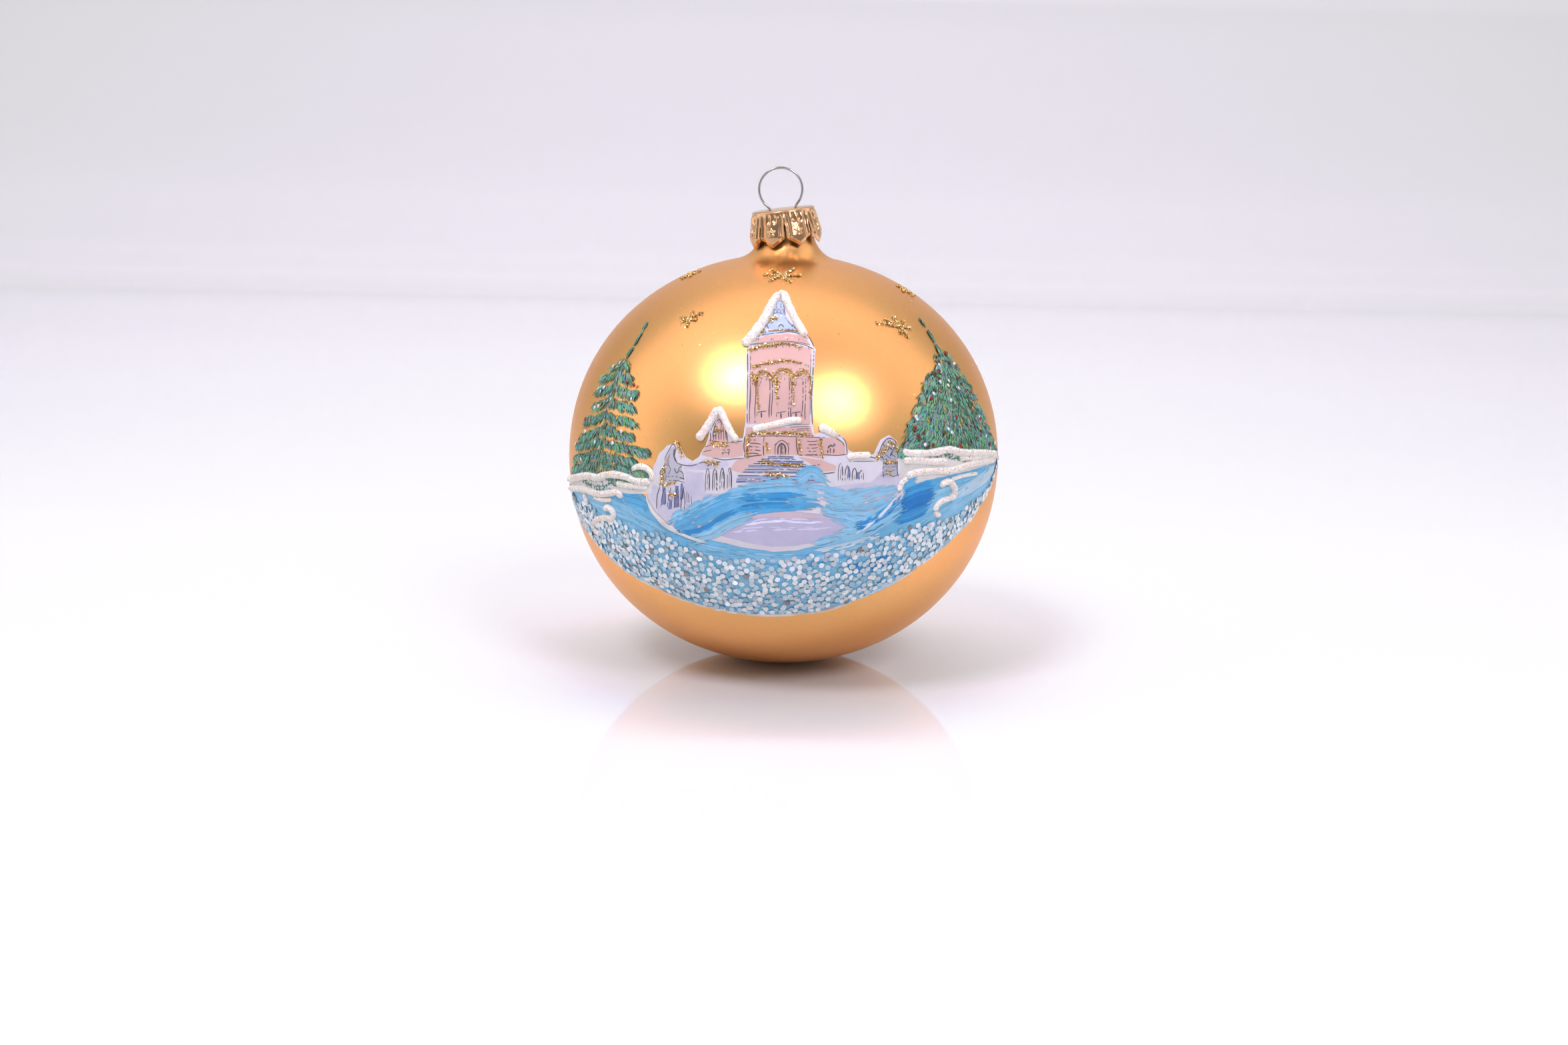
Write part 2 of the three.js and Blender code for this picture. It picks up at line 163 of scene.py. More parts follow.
studio_camera()
studio_sweep()
light_tent()
softbox("left_softbox", (300, 300), 17.0, (-383, -529, 866), tint="#EFEEFF")
softbox("right_softbox", (360, 340), 11.5, (454, -683, 690), tint="#EFEEFF")
softbox("backdrop_lamp", (1500, 300), 7.5, (0, 500, 1500), (0, 1300, 300), "#FFF6FB", False)

display = bpy.context.scene.view_settings
display.view_transform = "Standard"
display.use_curve_mapping = True
shoulder = display.curve_mapping
shoulder.clip_max_x, shoulder.extend = 8.0, "HORIZONTAL"
for bright, shown in ((0.72, 0.72), (1.0, 0.905), (1.5, 0.97), (3.0, 0.997)):
    shoulder.curves[3].points.new(bright, shown).handle_type = "VECTOR"
shoulder.curves[3].points[-1].location = (8.0, 1.0)
shoulder.update()

# ---------------------------------------------------------------------------
# Glass ball: blown glass 0.6 mm thick, silvered inside and sprayed outside with
# a satin gold lacquer. Its bottom is a little flat, and its neck is cut square.
# ---------------------------------------------------------------------------
BALL_RADIUS, BELOW_EQUATOR, ABOVE_EQUATOR = 40.0, 38.35, 37.7
SQUARENESS = 2.06
FOOT_RADIUS, FLARE_FOOT, NECK_RADIUS, NECK_TOP, GLASS_WALL = 4.0, 9.2, 4.6, 82.0, 0.6


def ball_radius(height):
    reach = BELOW_EQUATOR if height < BELOW_EQUATOR else ABOVE_EQUATOR
    share = min(1.0, abs(height - BELOW_EQUATOR) / reach)
    return BALL_RADIUS * (1 - share ** SQUARENESS) ** (1 / SQUARENESS)


def outward(turn, height):
    """The glass's outward direction where the ball is turned so far from the front."""
    slope = (ball_radius(height + 0.05) - ball_radius(height - 0.05)) / 0.1
    angle = math.radians(turn)
    return Vector((math.sin(angle), -math.cos(angle), -slope)).normalized()


def on_ball(turn, height, lift=0.0):
    angle, radius = math.radians(turn), ball_radius(height)
    point = Vector((radius * math.sin(angle), -radius * math.cos(angle), height))
    return point + outward(turn, height) * lift if lift else point


def bezier(a, b, c, d, share):
    rest = 1 - share
    return tuple(
        rest ** 3 * p + 3 * rest ** 2 * share * q + 3 * rest * share ** 2 * r + share ** 3 * s
        for p, q, r, s in zip(a, b, c, d))


def ball_profile():
    """Radius and height from the middle of the foot to the rim, outside."""
    flare_share = (1 - (FLARE_FOOT / BALL_RADIUS) ** SQUARENESS) ** (1 / SQUARENESS)
    lowest, highest = -math.acos(FOOT_RADIUS / BALL_RADIUS), math.asin(flare_share)
    profile, rings = [(0, 0), (FOOT_RADIUS * 0.5, 0), (FOOT_RADIUS, 0)], 120
    for i in range(1, rings + 1):
        angle = lowest + (highest - lowest) * i / rings
        reach = BELOW_EQUATOR if angle < 0 else ABOVE_EQUATOR
        height = BELOW_EQUATOR + reach * math.sin(angle)
        profile.append((ball_radius(height), height))
    foot = profile[-1]
    controls = (foot, (7.4, foot[1] + 0.5), (5.75, foot[1] + 1.4), (NECK_RADIUS, 80))
    profile += [bezier(*controls, i / 20) for i in range(1, 21)]
    return profile + [(NECK_RADIUS, NECK_TOP - 0.2), (NECK_RADIUS - 0.15, NECK_TOP)]


def glass_lining(profile):
    """The inner side of the wall, from the rim back down to the middle of the foot."""
    lining = [(NECK_RADIUS - GLASS_WALL + 0.1, NECK_TOP), (NECK_RADIUS - GLASS_WALL, NECK_TOP - 0.2)]
    for i in range(len(profile) - 4, 2, -4):
        (x0, z0), (x1, z1) = profile[i - 1], profile[i + 1]
        length = math.hypot(x1 - x0, z1 - z0)
        x, z = profile[i]
        lining.append((x - (z1 - z0) / length * GLASS_WALL, z + (x1 - x0) / length * GLASS_WALL))
    return lining + [(FOOT_RADIUS, GLASS_WALL), (0, GLASS_WALL)]


def lathe(profile, sides):
    """Points and faces of a profile turned about the Z axis, which it starts and ends on."""
    points, faces = [Vector((0, 0, profile[0][1]))], []
    for radius, height in profile[1:-1]:
        for k in range(sides):
            angle = 2 * math.pi * k / sides
            points.append(Vector((radius * math.sin(angle), -radius * math.cos(angle), height)))
    points.append(Vector((0, 0, profile[-1][1])))
    rings, last = len(profile) - 2, len(points) - 1
    for k in range(sides):
        after = (k + 1) % sides
        faces.append((0, 1 + after, 1 + k))
        for ring in range(rings - 1):
            a, b = 1 + ring * sides + k, 1 + ring * sides + after
            faces.append((a, b, b + sides, a + sides))
        end = 1 + (rings - 1) * sides
        faces.append((end + k, end + after, last))
    return points, faces


def gold_lacquer():
    """Metal pigment in a satin lacquer: a broad soft glow, and a very slight cloudiness."""
    material, shader = new_material(
        "satin_gold_lacquer", Metallic=1.0, Specular_Tint=srgb("#FAD2A8"), Coat_Weight=0.8,
        Coat_Roughness=0.36)
    tree = material.node_tree
    cloud = add_node(tree, "ShaderNodeTexNoise", {"Scale": 90.0, "Detail": 3.0})
    colour = add_node(
        tree, "ShaderNodeMix", {"data_type": "RGBA", 6: srgb("#F7BC72"), 7: srgb("#F3B468")},
        {0: cloud.outputs["Fac"]})
    rough = add_node(
        tree, "ShaderNodeMapRange", {"To Min": 0.35, "To Max": 0.4}, {"Value": cloud.outputs["Fac"]})
    grain = add_node(tree, "ShaderNodeTexNoise", {"Scale": 2500.0, "Detail": 2.0})
    bump = add_node(
        tree, "ShaderNodeBump", {"Strength": 0.06, "Distance": 0.00005}, {"Height": grain.outputs["Fac"]})
    tree.links.new(colour.outputs[2], shader.inputs["Base Color"])
    tree.links.new(rough.outputs["Result"], shader.inputs["Roughness"])
    tree.links.new(bump.outputs["Normal"], shader.inputs["Normal"])
    return material


def glass_ball():
    profile = ball_profile()
    lining = glass_lining(profile)
    points, faces = lathe(profile + lining, 192)
    silvering, shader = new_material("silvered_glass", Base_Color=srgb("#C9C3B6"), Metallic=1.0)
    haze = add_node(silvering.node_tree, "ShaderNodeTexNoise", {"Scale": 120.0})
    rough = add_node(
        silvering.node_tree, "ShaderNodeMapRange", {"To Min": 0.1, "To Max": 0.3},
        {"Value": haze.outputs["Fac"]})
    silvering.node_tree.links.new(rough.outputs["Result"], shader.inputs["Roughness"])
    outside = len(profile) - 1
    rings = len(profile) + len(lining) - 1
    finishes = [0 if ring < outside else 1 for _ in range(192) for ring in range(rings)]
    ball = mesh_piece("lacquered_glass_ball", points, faces, [gold_lacquer(), silvering], finishes)
    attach(ball, "ball")
    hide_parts("glass_ball")


glass_ball()

# ---------------------------------------------------------------------------
# Cap: thin aluminium stamped into eight fluted petals with a star on each, and
# anodised rose gold. It sits crooked on the neck. The flutes are pressed in.
# ---------------------------------------------------------------------------
CAP_LEAN = math.radians(7.5)
CAP_TOP = Vector((-0.9, 0, 84.35))
CAP_HEIGHT, CAP_TOP_RADIUS, CAP_SKIRT_RADIUS, CAP_METAL = 6.55, 5.7, 6.55, 0.25
PETALS, WIRE_SPACING, WIRE_HOLE = 8, 4.6, 1.1
IN_CAP = Matrix.Translation(CAP_TOP) @ Matrix.Rotation(-CAP_LEAN, 4, "Y")


def ramp(value, low, high):
    """0 below the low value, 1 above the high one, and a smooth rise between them."""
    share = max(0.0, min(1.0, (value - low) / (high - low)))
    return share * share * (3 - 2 * share)


def star_height(across, up, radius=0.95):
    """How far a five-pointed star stands proud, from 0 outside it to 1 at its middle."""
    distance = math.hypot(across, up)
    sector = 2 * math.pi / 5
    angle = (math.atan2(across, up) + sector / 2) % sector - sector / 2
    tip = Vector((radius, 0))
    notch = Vector((math.cos(sector / 2), math.sin(sector / 2))) * 0.4 * radius
    spot = Vector((distance * math.cos(angle), abs(distance * math.sin(angle))))
    edge = notch - tip
    inwards = (edge.x * (spot.y - tip.y) - edge.y * (spot.x - tip.x)) / edge.length
    return ramp(inwards, 0, 0.16)


def petal_tip(across):
    """How far down the cap its pointed edge is: across is from -1 to 1 over a petal's width."""
    return CAP_HEIGHT - 1.55 * abs(across) ** 1.05


def petal_relief(across, depth):
    """Radius of a petal: flutes at the top, a raised panel with a star, and an edge bent in."""
    skirt = CAP_TOP_RADIUS + (CAP_SKIRT_RADIUS - CAP_TOP_RADIUS) * min(1.0, depth / 4.6) ** 1.3
    panel = ramp(depth, 1.6, 2.6) * ramp(0.56 - abs(across), 0, 0.1)
    flute = 0.16 * math.cos(across * math.pi * 4) * ramp(depth, 0.3, 1.4) * (1 - panel)
    star = 0.34 * star_height(across * 2.2, 3.75 - depth)
    bevel = 0.35 * max(0.0, 0.7 - (petal_tip(across) - depth))
    return skirt + flute + 0.14 * panel + star - bevel


def fluted_cap():
    columns, rows = 56, 64
    points, faces = [], []
    for petal in range(PETALS):
        start = len(points)
        for i in range(columns + 1):
            across = 2 * i / columns - 1
            for j in range(rows + 1):
                depth = 0.3 + (petal_tip(across) - 0.3) * j / rows
                slot = 0.19 * ramp(depth, 2.0, 3.0)
                pitch = math.pi / PETALS
                angle = (petal + 0.5) * 2 * pitch + across * (pitch - slot / CAP_SKIRT_RADIUS)
                radius = petal_relief(across, depth)
                points.append(IN_CAP @ Vector((radius * math.sin(angle), -radius * math.cos(angle),
                                               -depth)))
        for i in range(columns):
            for j in range(rows):
                a = start + i * (rows + 1) + j
                faces.append((a, a + 1, a + rows + 2, a + rows + 1))
    return points, faces


def anodised_aluminium():
    """Bright dyed aluminium: mirror-like, with fine stamping lines and a few dull spots."""
    material, shader = new_material("anodised_aluminium", Metallic=1.0, Base_Color=srgb("#E8B98C"))
    tree = material.node_tree
    wear = add_node(tree, "ShaderNodeTexNoise", {"Scale": 900.0, "Detail": 4.0})
    rough = add_node(
        tree, "ShaderNodeMapRange", {"To Min": 0.1, "To Max": 0.2}, {"Value": wear.outputs["Fac"]})
    dents = add_node(tree, "ShaderNodeTexNoise", {"Scale": 500.0, "Detail": 1.0})
    bump = add_node(
        tree, "ShaderNodeBump", {"Strength": 0.06, "Distance": 0.0001}, {"Height": dents.outputs["Fac"]})
    tree.links.new(rough.outputs["Result"], shader.inputs["Roughness"])
    tree.links.new(bump.outputs["Normal"], shader.inputs["Normal"])
    return material


def cap():
    points, faces = fluted_cap()
    sides, holes = 96, 20
    top_start = len(points)
    shoulder = [(CAP_TOP_RADIUS + 0.1, -0.32), (CAP_TOP_RADIUS + 0.02, -0.14),
                (CAP_TOP_RADIUS - 0.2, 0.0)]
    for radius, height in shoulder:
        for k in range(sides):
            angle = 2 * math.pi * k / sides
            points.append(IN_CAP @ Vector((radius * math.sin(angle), -radius * math.cos(angle), height)))
    for ring in range(len(shoulder) - 1):
        for k in range(sides):
            a, b = top_start + ring * sides + k, top_start + ring * sides + (k + 1) % sides
            faces.append((a, b, b + sides, a + sides))
    rim = [points[top_start + (len(shoulder) - 1) * sides + k] for k in range(sides)]
    flat = [(IN_CAP.inverted() @ p).to_2d() for p in rim]
    outlines, loop_start = [[(k, (k + 1) % sides) for k in range(sides)]], sides
    for side in (-1, 1):
        for k in range(holes):
            angle = 2 * math.pi * k / holes
            flat.append(Vector((side * WIRE_SPACING + WIRE_HOLE * math.cos(angle),
                                WIRE_HOLE * math.sin(angle))) / 2)
        outlines.append([(loop_start + k, loop_start + (k + 1) % holes) for k in range(holes)])
        loop_start += holes
    spots, _, triangles, *_ = delaunay_2d_cdt(flat, [e for loop in outlines for e in loop], [], 0, 1e-6)
    disc_start = len(points)
    points += [IN_CAP @ Vector((x, y, 0.0)) for x, y in spots]
    for triangle in triangles:
        middle = sum((spots[k] for k in triangle), Vector((0, 0))) / len(triangle)
        if min((middle - Vector((s * WIRE_SPACING / 2, 0))).length for s in (-1,
                1)) > WIRE_HOLE / 2 - 0.02:
            faces.append(tuple(disc_start + k for k in triangle))
    piece = mesh_piece("anodised_cap", points, faces, [anodised_aluminium()])
    sheet = piece.modifiers.new("sheet_metal", "SOLIDIFY")
    sheet.thickness, sheet.offset = CAP_METAL * MM, -1
    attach(piece, "cap")
    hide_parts("cap")


cap()

# ---------------------------------------------------------------------------
# Hanger: one length of 0.45 mm spring steel wire, bent into a round loop, with a
# leg on each side that goes through a hole in the cap and down into the neck.
# ---------------------------------------------------------------------------
WIRE, LOOP_RADIUS, LEG_BOTTOM = 0.45, 3.95, 70.0


def smooth_path(controls, step):
    """Points about one step apart on a smooth curve through the control points."""
    controls = [Vector(c) for c in controls]
    controls = [2 * controls[0] - controls[1], *controls, 2 * controls[-1] - controls[-2]]
    path = []
    for a, b, c, d in zip(controls, controls[1:], controls[2:], controls[3:]):
        parts = max(1, round((c - b).length / step))
        for i in range(parts):
            t = i / parts
            path.append(0.5 * (2 * b + (c - a) * t + (2 * a - 5 * b + 4 * c - d) * t * t
                               + (3 * b - 3 * c + d - a) * t ** 3))
    return path + [controls[-2]]


def hanger_wire():
    rise = math.sqrt(LOOP_RADIUS ** 2 - (WIRE_SPACING / 2) ** 2) + 0.35
    gap = math.asin(WIRE_SPACING / 2 / LOOP_RADIUS) + 0.12
    controls = [(-2.95, 0, LEG_BOTTOM), (-3, 0, 76), (-3, 0, 80.5)]
    controls += [IN_CAP @ Vector((-WIRE_SPACING / 2, 0, z)) for z in (-0.9, 0)]
    for i in range(17):
        angle = -math.pi / 2 - gap - i / 16 * (2 * math.pi - 2 * gap)
        controls.append(IN_CAP @ Vector((LOOP_RADIUS * math.cos(angle), 0,
                                         rise + LOOP_RADIUS * math.sin(angle))))
    controls += [IN_CAP @ Vector((WIRE_SPACING / 2, 0, z)) for z in (0, -0.9)]
    controls += [(2.5, 0, 80.8), (2.95, 0, 78), (2.95, 0, LEG_BOTTOM)]
    path = smooth_path(controls, 0.2)
    sides, points, faces = 16, [], []
    for i, centre in enumerate(path):
        along = (path[min(i + 1, len(path) - 1)] - path[max(i - 1, 0)]).normalized()
        across = along.cross(Vector((0, 1, 0))).normalized()
        for k in range(sides):
            angle = 2 * math.pi * k / sides
            offset = across * math.cos(angle) + Vector((0, 1, 0)) * math.sin(angle)
            points.append(centre + offset * (WIRE / 2))
    for i in range(len(path) - 1):
        for k in range(sides):
            a, b = i * sides + k, i * sides + (k + 1) % sides
            faces.append((a, b, b + sides, a + sides))
    faces += [tuple(range(sides - 1, -1, -1)), tuple(len(points) - sides + k for k in range(sides))]
    steel, shader = new_material("drawn_spring_steel", Base_Color=srgb("#B9B7BC"), Metallic=1.0)
    drawn = add_node(steel.node_tree, "ShaderNodeTexNoise", {"Scale": 1500.0, "Detail": 3.0})
    rough = add_node(
        steel.node_tree, "ShaderNodeMapRange", {"To Min": 0.12, "To Max": 0.3},
        {"Value": drawn.outputs["Fac"]})
    steel.node_tree.links.new(rough.outputs["Result"], shader.inputs["Roughness"])
    wire = mesh_piece("wire_loop", points, faces, [steel])
    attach(wire, "hanger")
    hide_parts("hanger_wire")


hanger_wire()

# ---------------------------------------------------------------------------
# Painted paper: a thin white sheet with a winter town scene in ink and wash, cut
# out round the roofs, wetted, and glued smoothly on to the front of the ball.
# ---------------------------------------------------------------------------
PAPER, WASH, INK = 0.1, 0.008, 0.02


class Skin:
    """Points and faces gathered for one piece, with a finish for each face and a tint for each point."""

    def __init__(self):
        self.points, self.faces, self.finishes, self.tints = [], [], [], []

    def add(self, points, faces, finish=0, tint=(1, 1, 1, 1)):
        start = len(self.points)
        self.points += points
        self.faces += [tuple(start + k for k in face) for face in faces]
        self.finishes += [finish] * len(faces)
        self.tints += [tint] * len(points)

    def make(self, name, materials, smooth=True):
        return mesh_piece(name, self.points, self.faces, materials, self.finishes, self.tints, smooth)


def front(x, height):
    """Turn and height of a spot so far to the right of the middle, as seen from the front."""
    return math.degrees(math.asin(max(-1.0, min(1.0, x / ball_radius(height))))), height


def settle(point, lift=0.0):
    """A point near the ball, moved in or out until it is so far above the glass."""
    return on_ball(math.degrees(math.atan2(point.x, -point.y)), point.z, lift)


def inside(outline, x, y):
    found = False
    for (x0, y0), (x1, y1) in zip(outline, outline[1:] + outline[:1]):
        if (y0 > y) != (y1 > y) and x < x0 + (y - y0) / (y1 - y0) * (x1 - x0):
            found = not found
    return found


noise.seed_set(5)  # noise_vector, which shakes the outlines, would otherwise start from the clock


def along_outline(outline, step, wander=0.0):
    """An outline with points about a step apart, each shifted by up to so much as a hand does."""
    points = []
    for (x0, y0), (x1, y1) in zip(outline, outline[1:] + outline[:1]):
        parts = max(1, round(math.hypot(x1 - x0, y1 - y0) / step))
        for i in range(parts):
            x, y = x0 + (x1 - x0) * i / parts, y0 + (y1 - y0) * i / parts
            shift = noise.noise_vector(Vector((x * 0.7, y * 0.7, 3.1))) * wander
            points.append((x + shift.x, y + shift.y))
    return points


def drape(skin, outline, lift, finish=0, spot=front, grid=1.1, edge_to=None, wander=0.12,
          tint=(1, 1, 1, 1)):
    """Lays a flat cut-out on the ball, with the sides of its edge going down to a lower level."""
    rim = along_outline(outline, grid * 0.5, wander)
    xs, ys = [p[0] for p in rim], [p[1] for p in rim]
    flat = [Vector(p) for p in rim]
    for i in range(int((max(xs) - min(xs)) / grid) + 1):
        for j in range(int((max(ys) - min(ys)) / grid) + 1):
            x, y = min(xs) + (i + 0.5 + 0.25 * (j % 2)) * grid, min(ys) + (j + 0.5) * grid
            if inside(rim, x, y) and min((x - a) ** 2 + (y - b) ** 2 for a, b in rim) > (grid * 0.4) ** 2:
                flat.append(Vector((x, y)))
    spots, _, triangles, *_ = delaunay_2d_cdt(flat, [], [list(range(len(rim)))], 1, 1e-5)
    kept = sorted({k for triangle in triangles for k in triangle})
    number = {k: i for i, k in enumerate(kept)}
    points = [on_ball(*spot(*spots[k]), lift) for k in kept]
    faces = [tuple(number[k] for k in triangle) for triangle in triangles]
    skin.add(points, faces, finish, tint)
    if edge_to is not None:
        count = len(rim)
        walls = [on_ball(*spot(*p), h) for h in (lift, edge_to) for p in rim]
        skin.add(walls, [(k, (k + 1) % count, count + (k + 1) % count, count + k) for k in range(count)],
                 finish, tint)


def trail(spots, step=0.5):
    """Places about a step apart on a curve over the ball, each with its right and outward directions."""
    line = smooth_path([on_ball(*spot) for spot in spots], step)
    steps = []
    for i, point in enumerate(line):
        along = line[min(i + 1, len(line) - 1)] - line[max(i - 1, 0)]
        out = outward(math.degrees(math.atan2(point.x, -point.y)), point.z)
        steps.append((settle(point), along.cross(out).normalized(), out))
    return steps


def stripe(skin, steps, offset, half, lift, crown, finish=0, tint=(1, 1, 1, 1), taper=0.3):
    """A narrow mark with a raised middle, which thins out at both ends."""
    points, last = [], len(steps) - 1
    for i, (place, side, out) in enumerate(steps):
        thin = min(1.0, taper + 5 * min(i, last - i) / max(1, last))
        for across in (-1, 0, 1):
            points.append(settle(place + side * (offset + across * half * thin),
                                 lift + crown * (across == 0)))
    faces = [(3 * i + k, 3 * i + k + 1, 3 * i + k + 4, 3 * i + k + 3) for i in range(last) for k in (0,
            1)]
    skin.add(points, faces, finish, tint)


def wash(name, code, blotch, scale=160.0, roughness=0.72):
    """Watercolour that has dried unevenly on rough paper."""
    material, shader = new_material(name, Roughness=roughness, Specular_IOR_Level=0.3)
    tree = material.node_tree
    place = add_node(tree, "ShaderNodeTexCoord")
    pool = add_node(
        tree, "ShaderNodeTexNoise", {"Scale": scale, "Detail": 5.0, "Roughness": 0.6},
        {"Vector": place.outputs["Object"]})
    spread = add_node(
        tree, "ShaderNodeMapRange", {"From Min": 0.35, "From Max": 0.68}, {"Value": pool.outputs["Fac"]})
    colour = add_node(
        tree, "ShaderNodeMix", {"data_type": "RGBA", 6: srgb(code), 7: srgb(blotch)},
        {0: spread.outputs["Result"]})
    tooth = add_node(
        tree, "ShaderNodeTexNoise", {"Scale": 2200.0, "Detail": 2.0}, {"Vector": place.outputs["Object"]})
    bump = add_node(
        tree, "ShaderNodeBump", {"Strength": 0.35, "Distance": 0.00003}, {"Height": tooth.outputs["Fac"]})
    tree.links.new(colour.outputs[2], shader.inputs["Base Color"])
    tree.links.new(bump.outputs["Normal"], shader.inputs["Normal"])
    return material


town_paper = Skin()
sheet = [
    (-23.6, 37.2), (-22.7, 39.8), (-22.2, 41.9), (-21.2, 44.2), (-19.9, 45.6), (-18.8, 46.0),
    (-17.6, 45.6), (-16.6, 43.9), (-15.5, 43.4), (-14.3, 44.3), (-13.3, 46.2), (-12.8, 47.8),
    (-12.4, 49.6), (-11.0, 52.2), (-9.6, 49.6), (-9.2, 47.9), (-6.9, 47.7), (-6.5, 50), (-6.5, 58),
    (-6.6, 62), (-5.9, 63.5), (-4.5, 65), (-3, 67), (-1.9, 69.7), (-1.1, 70.6), (-0.2, 69.7), (0.8, 67.2),
    (2.6, 65), (4.2, 63.8), (5.2, 62.1), (4.9, 58), (4.9, 50.2), (5.2, 48.7), (7, 49.2), (9.0, 48.8),
    (10.4, 47.9), (11.0, 46), (12.6, 45.1), (15.4, 45), (15.9, 46.2), (16.6, 47.4), (17.9, 48.1),
    (19.4, 47.1), (20.1, 44.6), (20.7, 41.2), (21.2, 38.4), (19.6, 36), (17.3, 33.6), (13.6, 31.6),
    (8, 30), (2.2, 28.7), (-1.5, 28.3), (-6.6, 28.9), (-11.8, 29.8),
    (-15.6, 30.4), (-18.8, 31.4), (-21.6, 33.1), (-23.1, 35.2)]
drape(town_paper, sheet, PAPER, 0, edge_to=0.0)
tower_wash = [(-6.1, 50.1), (-6.1, 62.3), (-3.4, 62.8), (1, 63), (4.5, 62.3), (4.4, 57), (4.4, 50.1),
              (0, 50.4)]
ring_wash = [(-5.6, 63.2), (-4.9, 63.8), (-3.2, 64.2), (0.4, 64.6), (2.6, 64.3), (3.8, 63.6), (4.4, 62.9),
             (0.6, 63.3)]
roof_wash = [(-5.1, 64.1), (-3.9, 65.6), (-2.7, 67.2), (-2.1, 69), (-1.1, 69.9), (-0.3, 69), (0.1, 67.3),
             (1.2, 66), (2.9, 64.6), (1, 64.8), (-1.2, 64.6), (-3.4, 64.2)]
base_wash = [(-6.6, 44.6), (-6.6, 48), (-6.2, 49.6), (4.6, 49.9), (5, 48.3), (6.6, 48), (8.9, 48.2),
             (10.3, 47), (10.6, 45.1), (6.8, 45), (6.4, 44.6), (1.8, 45.2), (-2.8, 45.1), (-3.8, 44.4)]
gable_wash = [(-13.9, 44.6), (-12.9, 46.8), (-12.2, 48.2), (-11, 51.2), (-9.8, 48.6), (-9.3, 47.1),
              (-6.9, 47.1), (-6.8, 44.8), (-9, 44.4), (-11.8, 44.2)]
left_ground = [(-9, 42.4), (-8, 43.9), (-6.8, 44.5), (-4.2, 44.4), (-5.4, 43.2), (-6.9, 41.9)]
right_ground = [(2.4, 44.9), (6.4, 44.4), (8.9, 43.3), (8.9, 42.4), (6.2, 42.6), (4.2, 43.9)]
for outline in (tower_wash, ring_wash, base_wash, gable_wash, left_ground, right_ground):
    drape(town_paper, outline, PAPER + WASH, 1, wander=0.2)
drape(town_paper, roof_wash, PAPER + WASH, 2, wander=0.2)
lilac_ground = [
    [(-22.9, 37), (-22.1, 38.6), (-20.9, 38), (-16.9, 38.4), (-16.6, 41.4), (-13.5, 41.6), (-13.2, 38),
     (-8.4, 38.6), (-8, 36), (-13, 33), (-18, 31.7), (-21.3, 33.3)],
    [(8.6, 40), (15, 40.4), (17, 42.2), (20, 41.2), (20.4, 38.4), (17, 35), (11, 33.4), (8, 36)],
    [(-17, 42), (-16, 43), (-14.8, 43), (-13.2, 43.8), (-9.4, 43.8), (-9.2, 42.9), (-14, 42)]]
for outline in lilac_ground:
    drape(town_paper, outline, PAPER + WASH, 3, wander=0.3)
for outline in ([(-21.2, 38.4), (-20.6, 42), (-19.6, 45), (-18.7, 45.6), (-18.4, 43.6), (-17.4, 42.3),
                 (-17, 40.2)],
                [(16.2, 44.2), (17, 46.8), (18, 47.4), (19.2, 46.5), (19.4, 44), (19.6, 41.2), (17, 41.1),
                 (17, 43.6)]):
    drape(town_paper, outline, PAPER + 2 * WASH, 4, wander=0.25)
for half, height in ((2.2, 44.4), (3.8, 43.7), (5.4, 42.9), (6.2, 42.0), (7.2, 41.1), (7.4, 40.3)):
    step_face = [(-half - 0.5, height), (half - 0.5, height + 0.15), (half - 0.4, height + 0.6),
                 (-half - 0.4, height + 0.5)]
    drape(town_paper, step_face, PAPER + 2 * WASH, 5, wander=0.15, grid=0.7)
fills = [(-20.4, 36.8, 0.4, 1.6), (-19.3, 35.5, 0.35, 1.0), (-18.1, 36.9, 0.5, 2.0),
         (-17.2, 38, 0.3, 1.4), (11.1, 42.2, 0.3, 0.9), (12.6, 41.6, 0.35, 0.7), (-11.8, 48.3, 0.25, 0.5),
         (8.6, 46.9, 0.25, 0.3)]
for x, height, half, tall in fills:
    drape(town_paper, [(x - half, height - tall), (x + half, height - tall * 0.8),
                       (x + half * 0.7, height + tall), (x - half * 0.6, height + tall)],
                       PAPER + 2 * WASH, 6, wander=0.2, grid=0.7)


def arch(x, foot, half, tall):
    """A pointed arch standing on its two feet."""
    return [(x - half, foot), (x - half, foot + tall * 0.6), (x - half * 0.5, foot + tall * 0.9),
            (x, foot + tall), (x + half * 0.5, foot + tall * 0.9), (x + half, foot + tall * 0.6),
            (x + half, foot)]


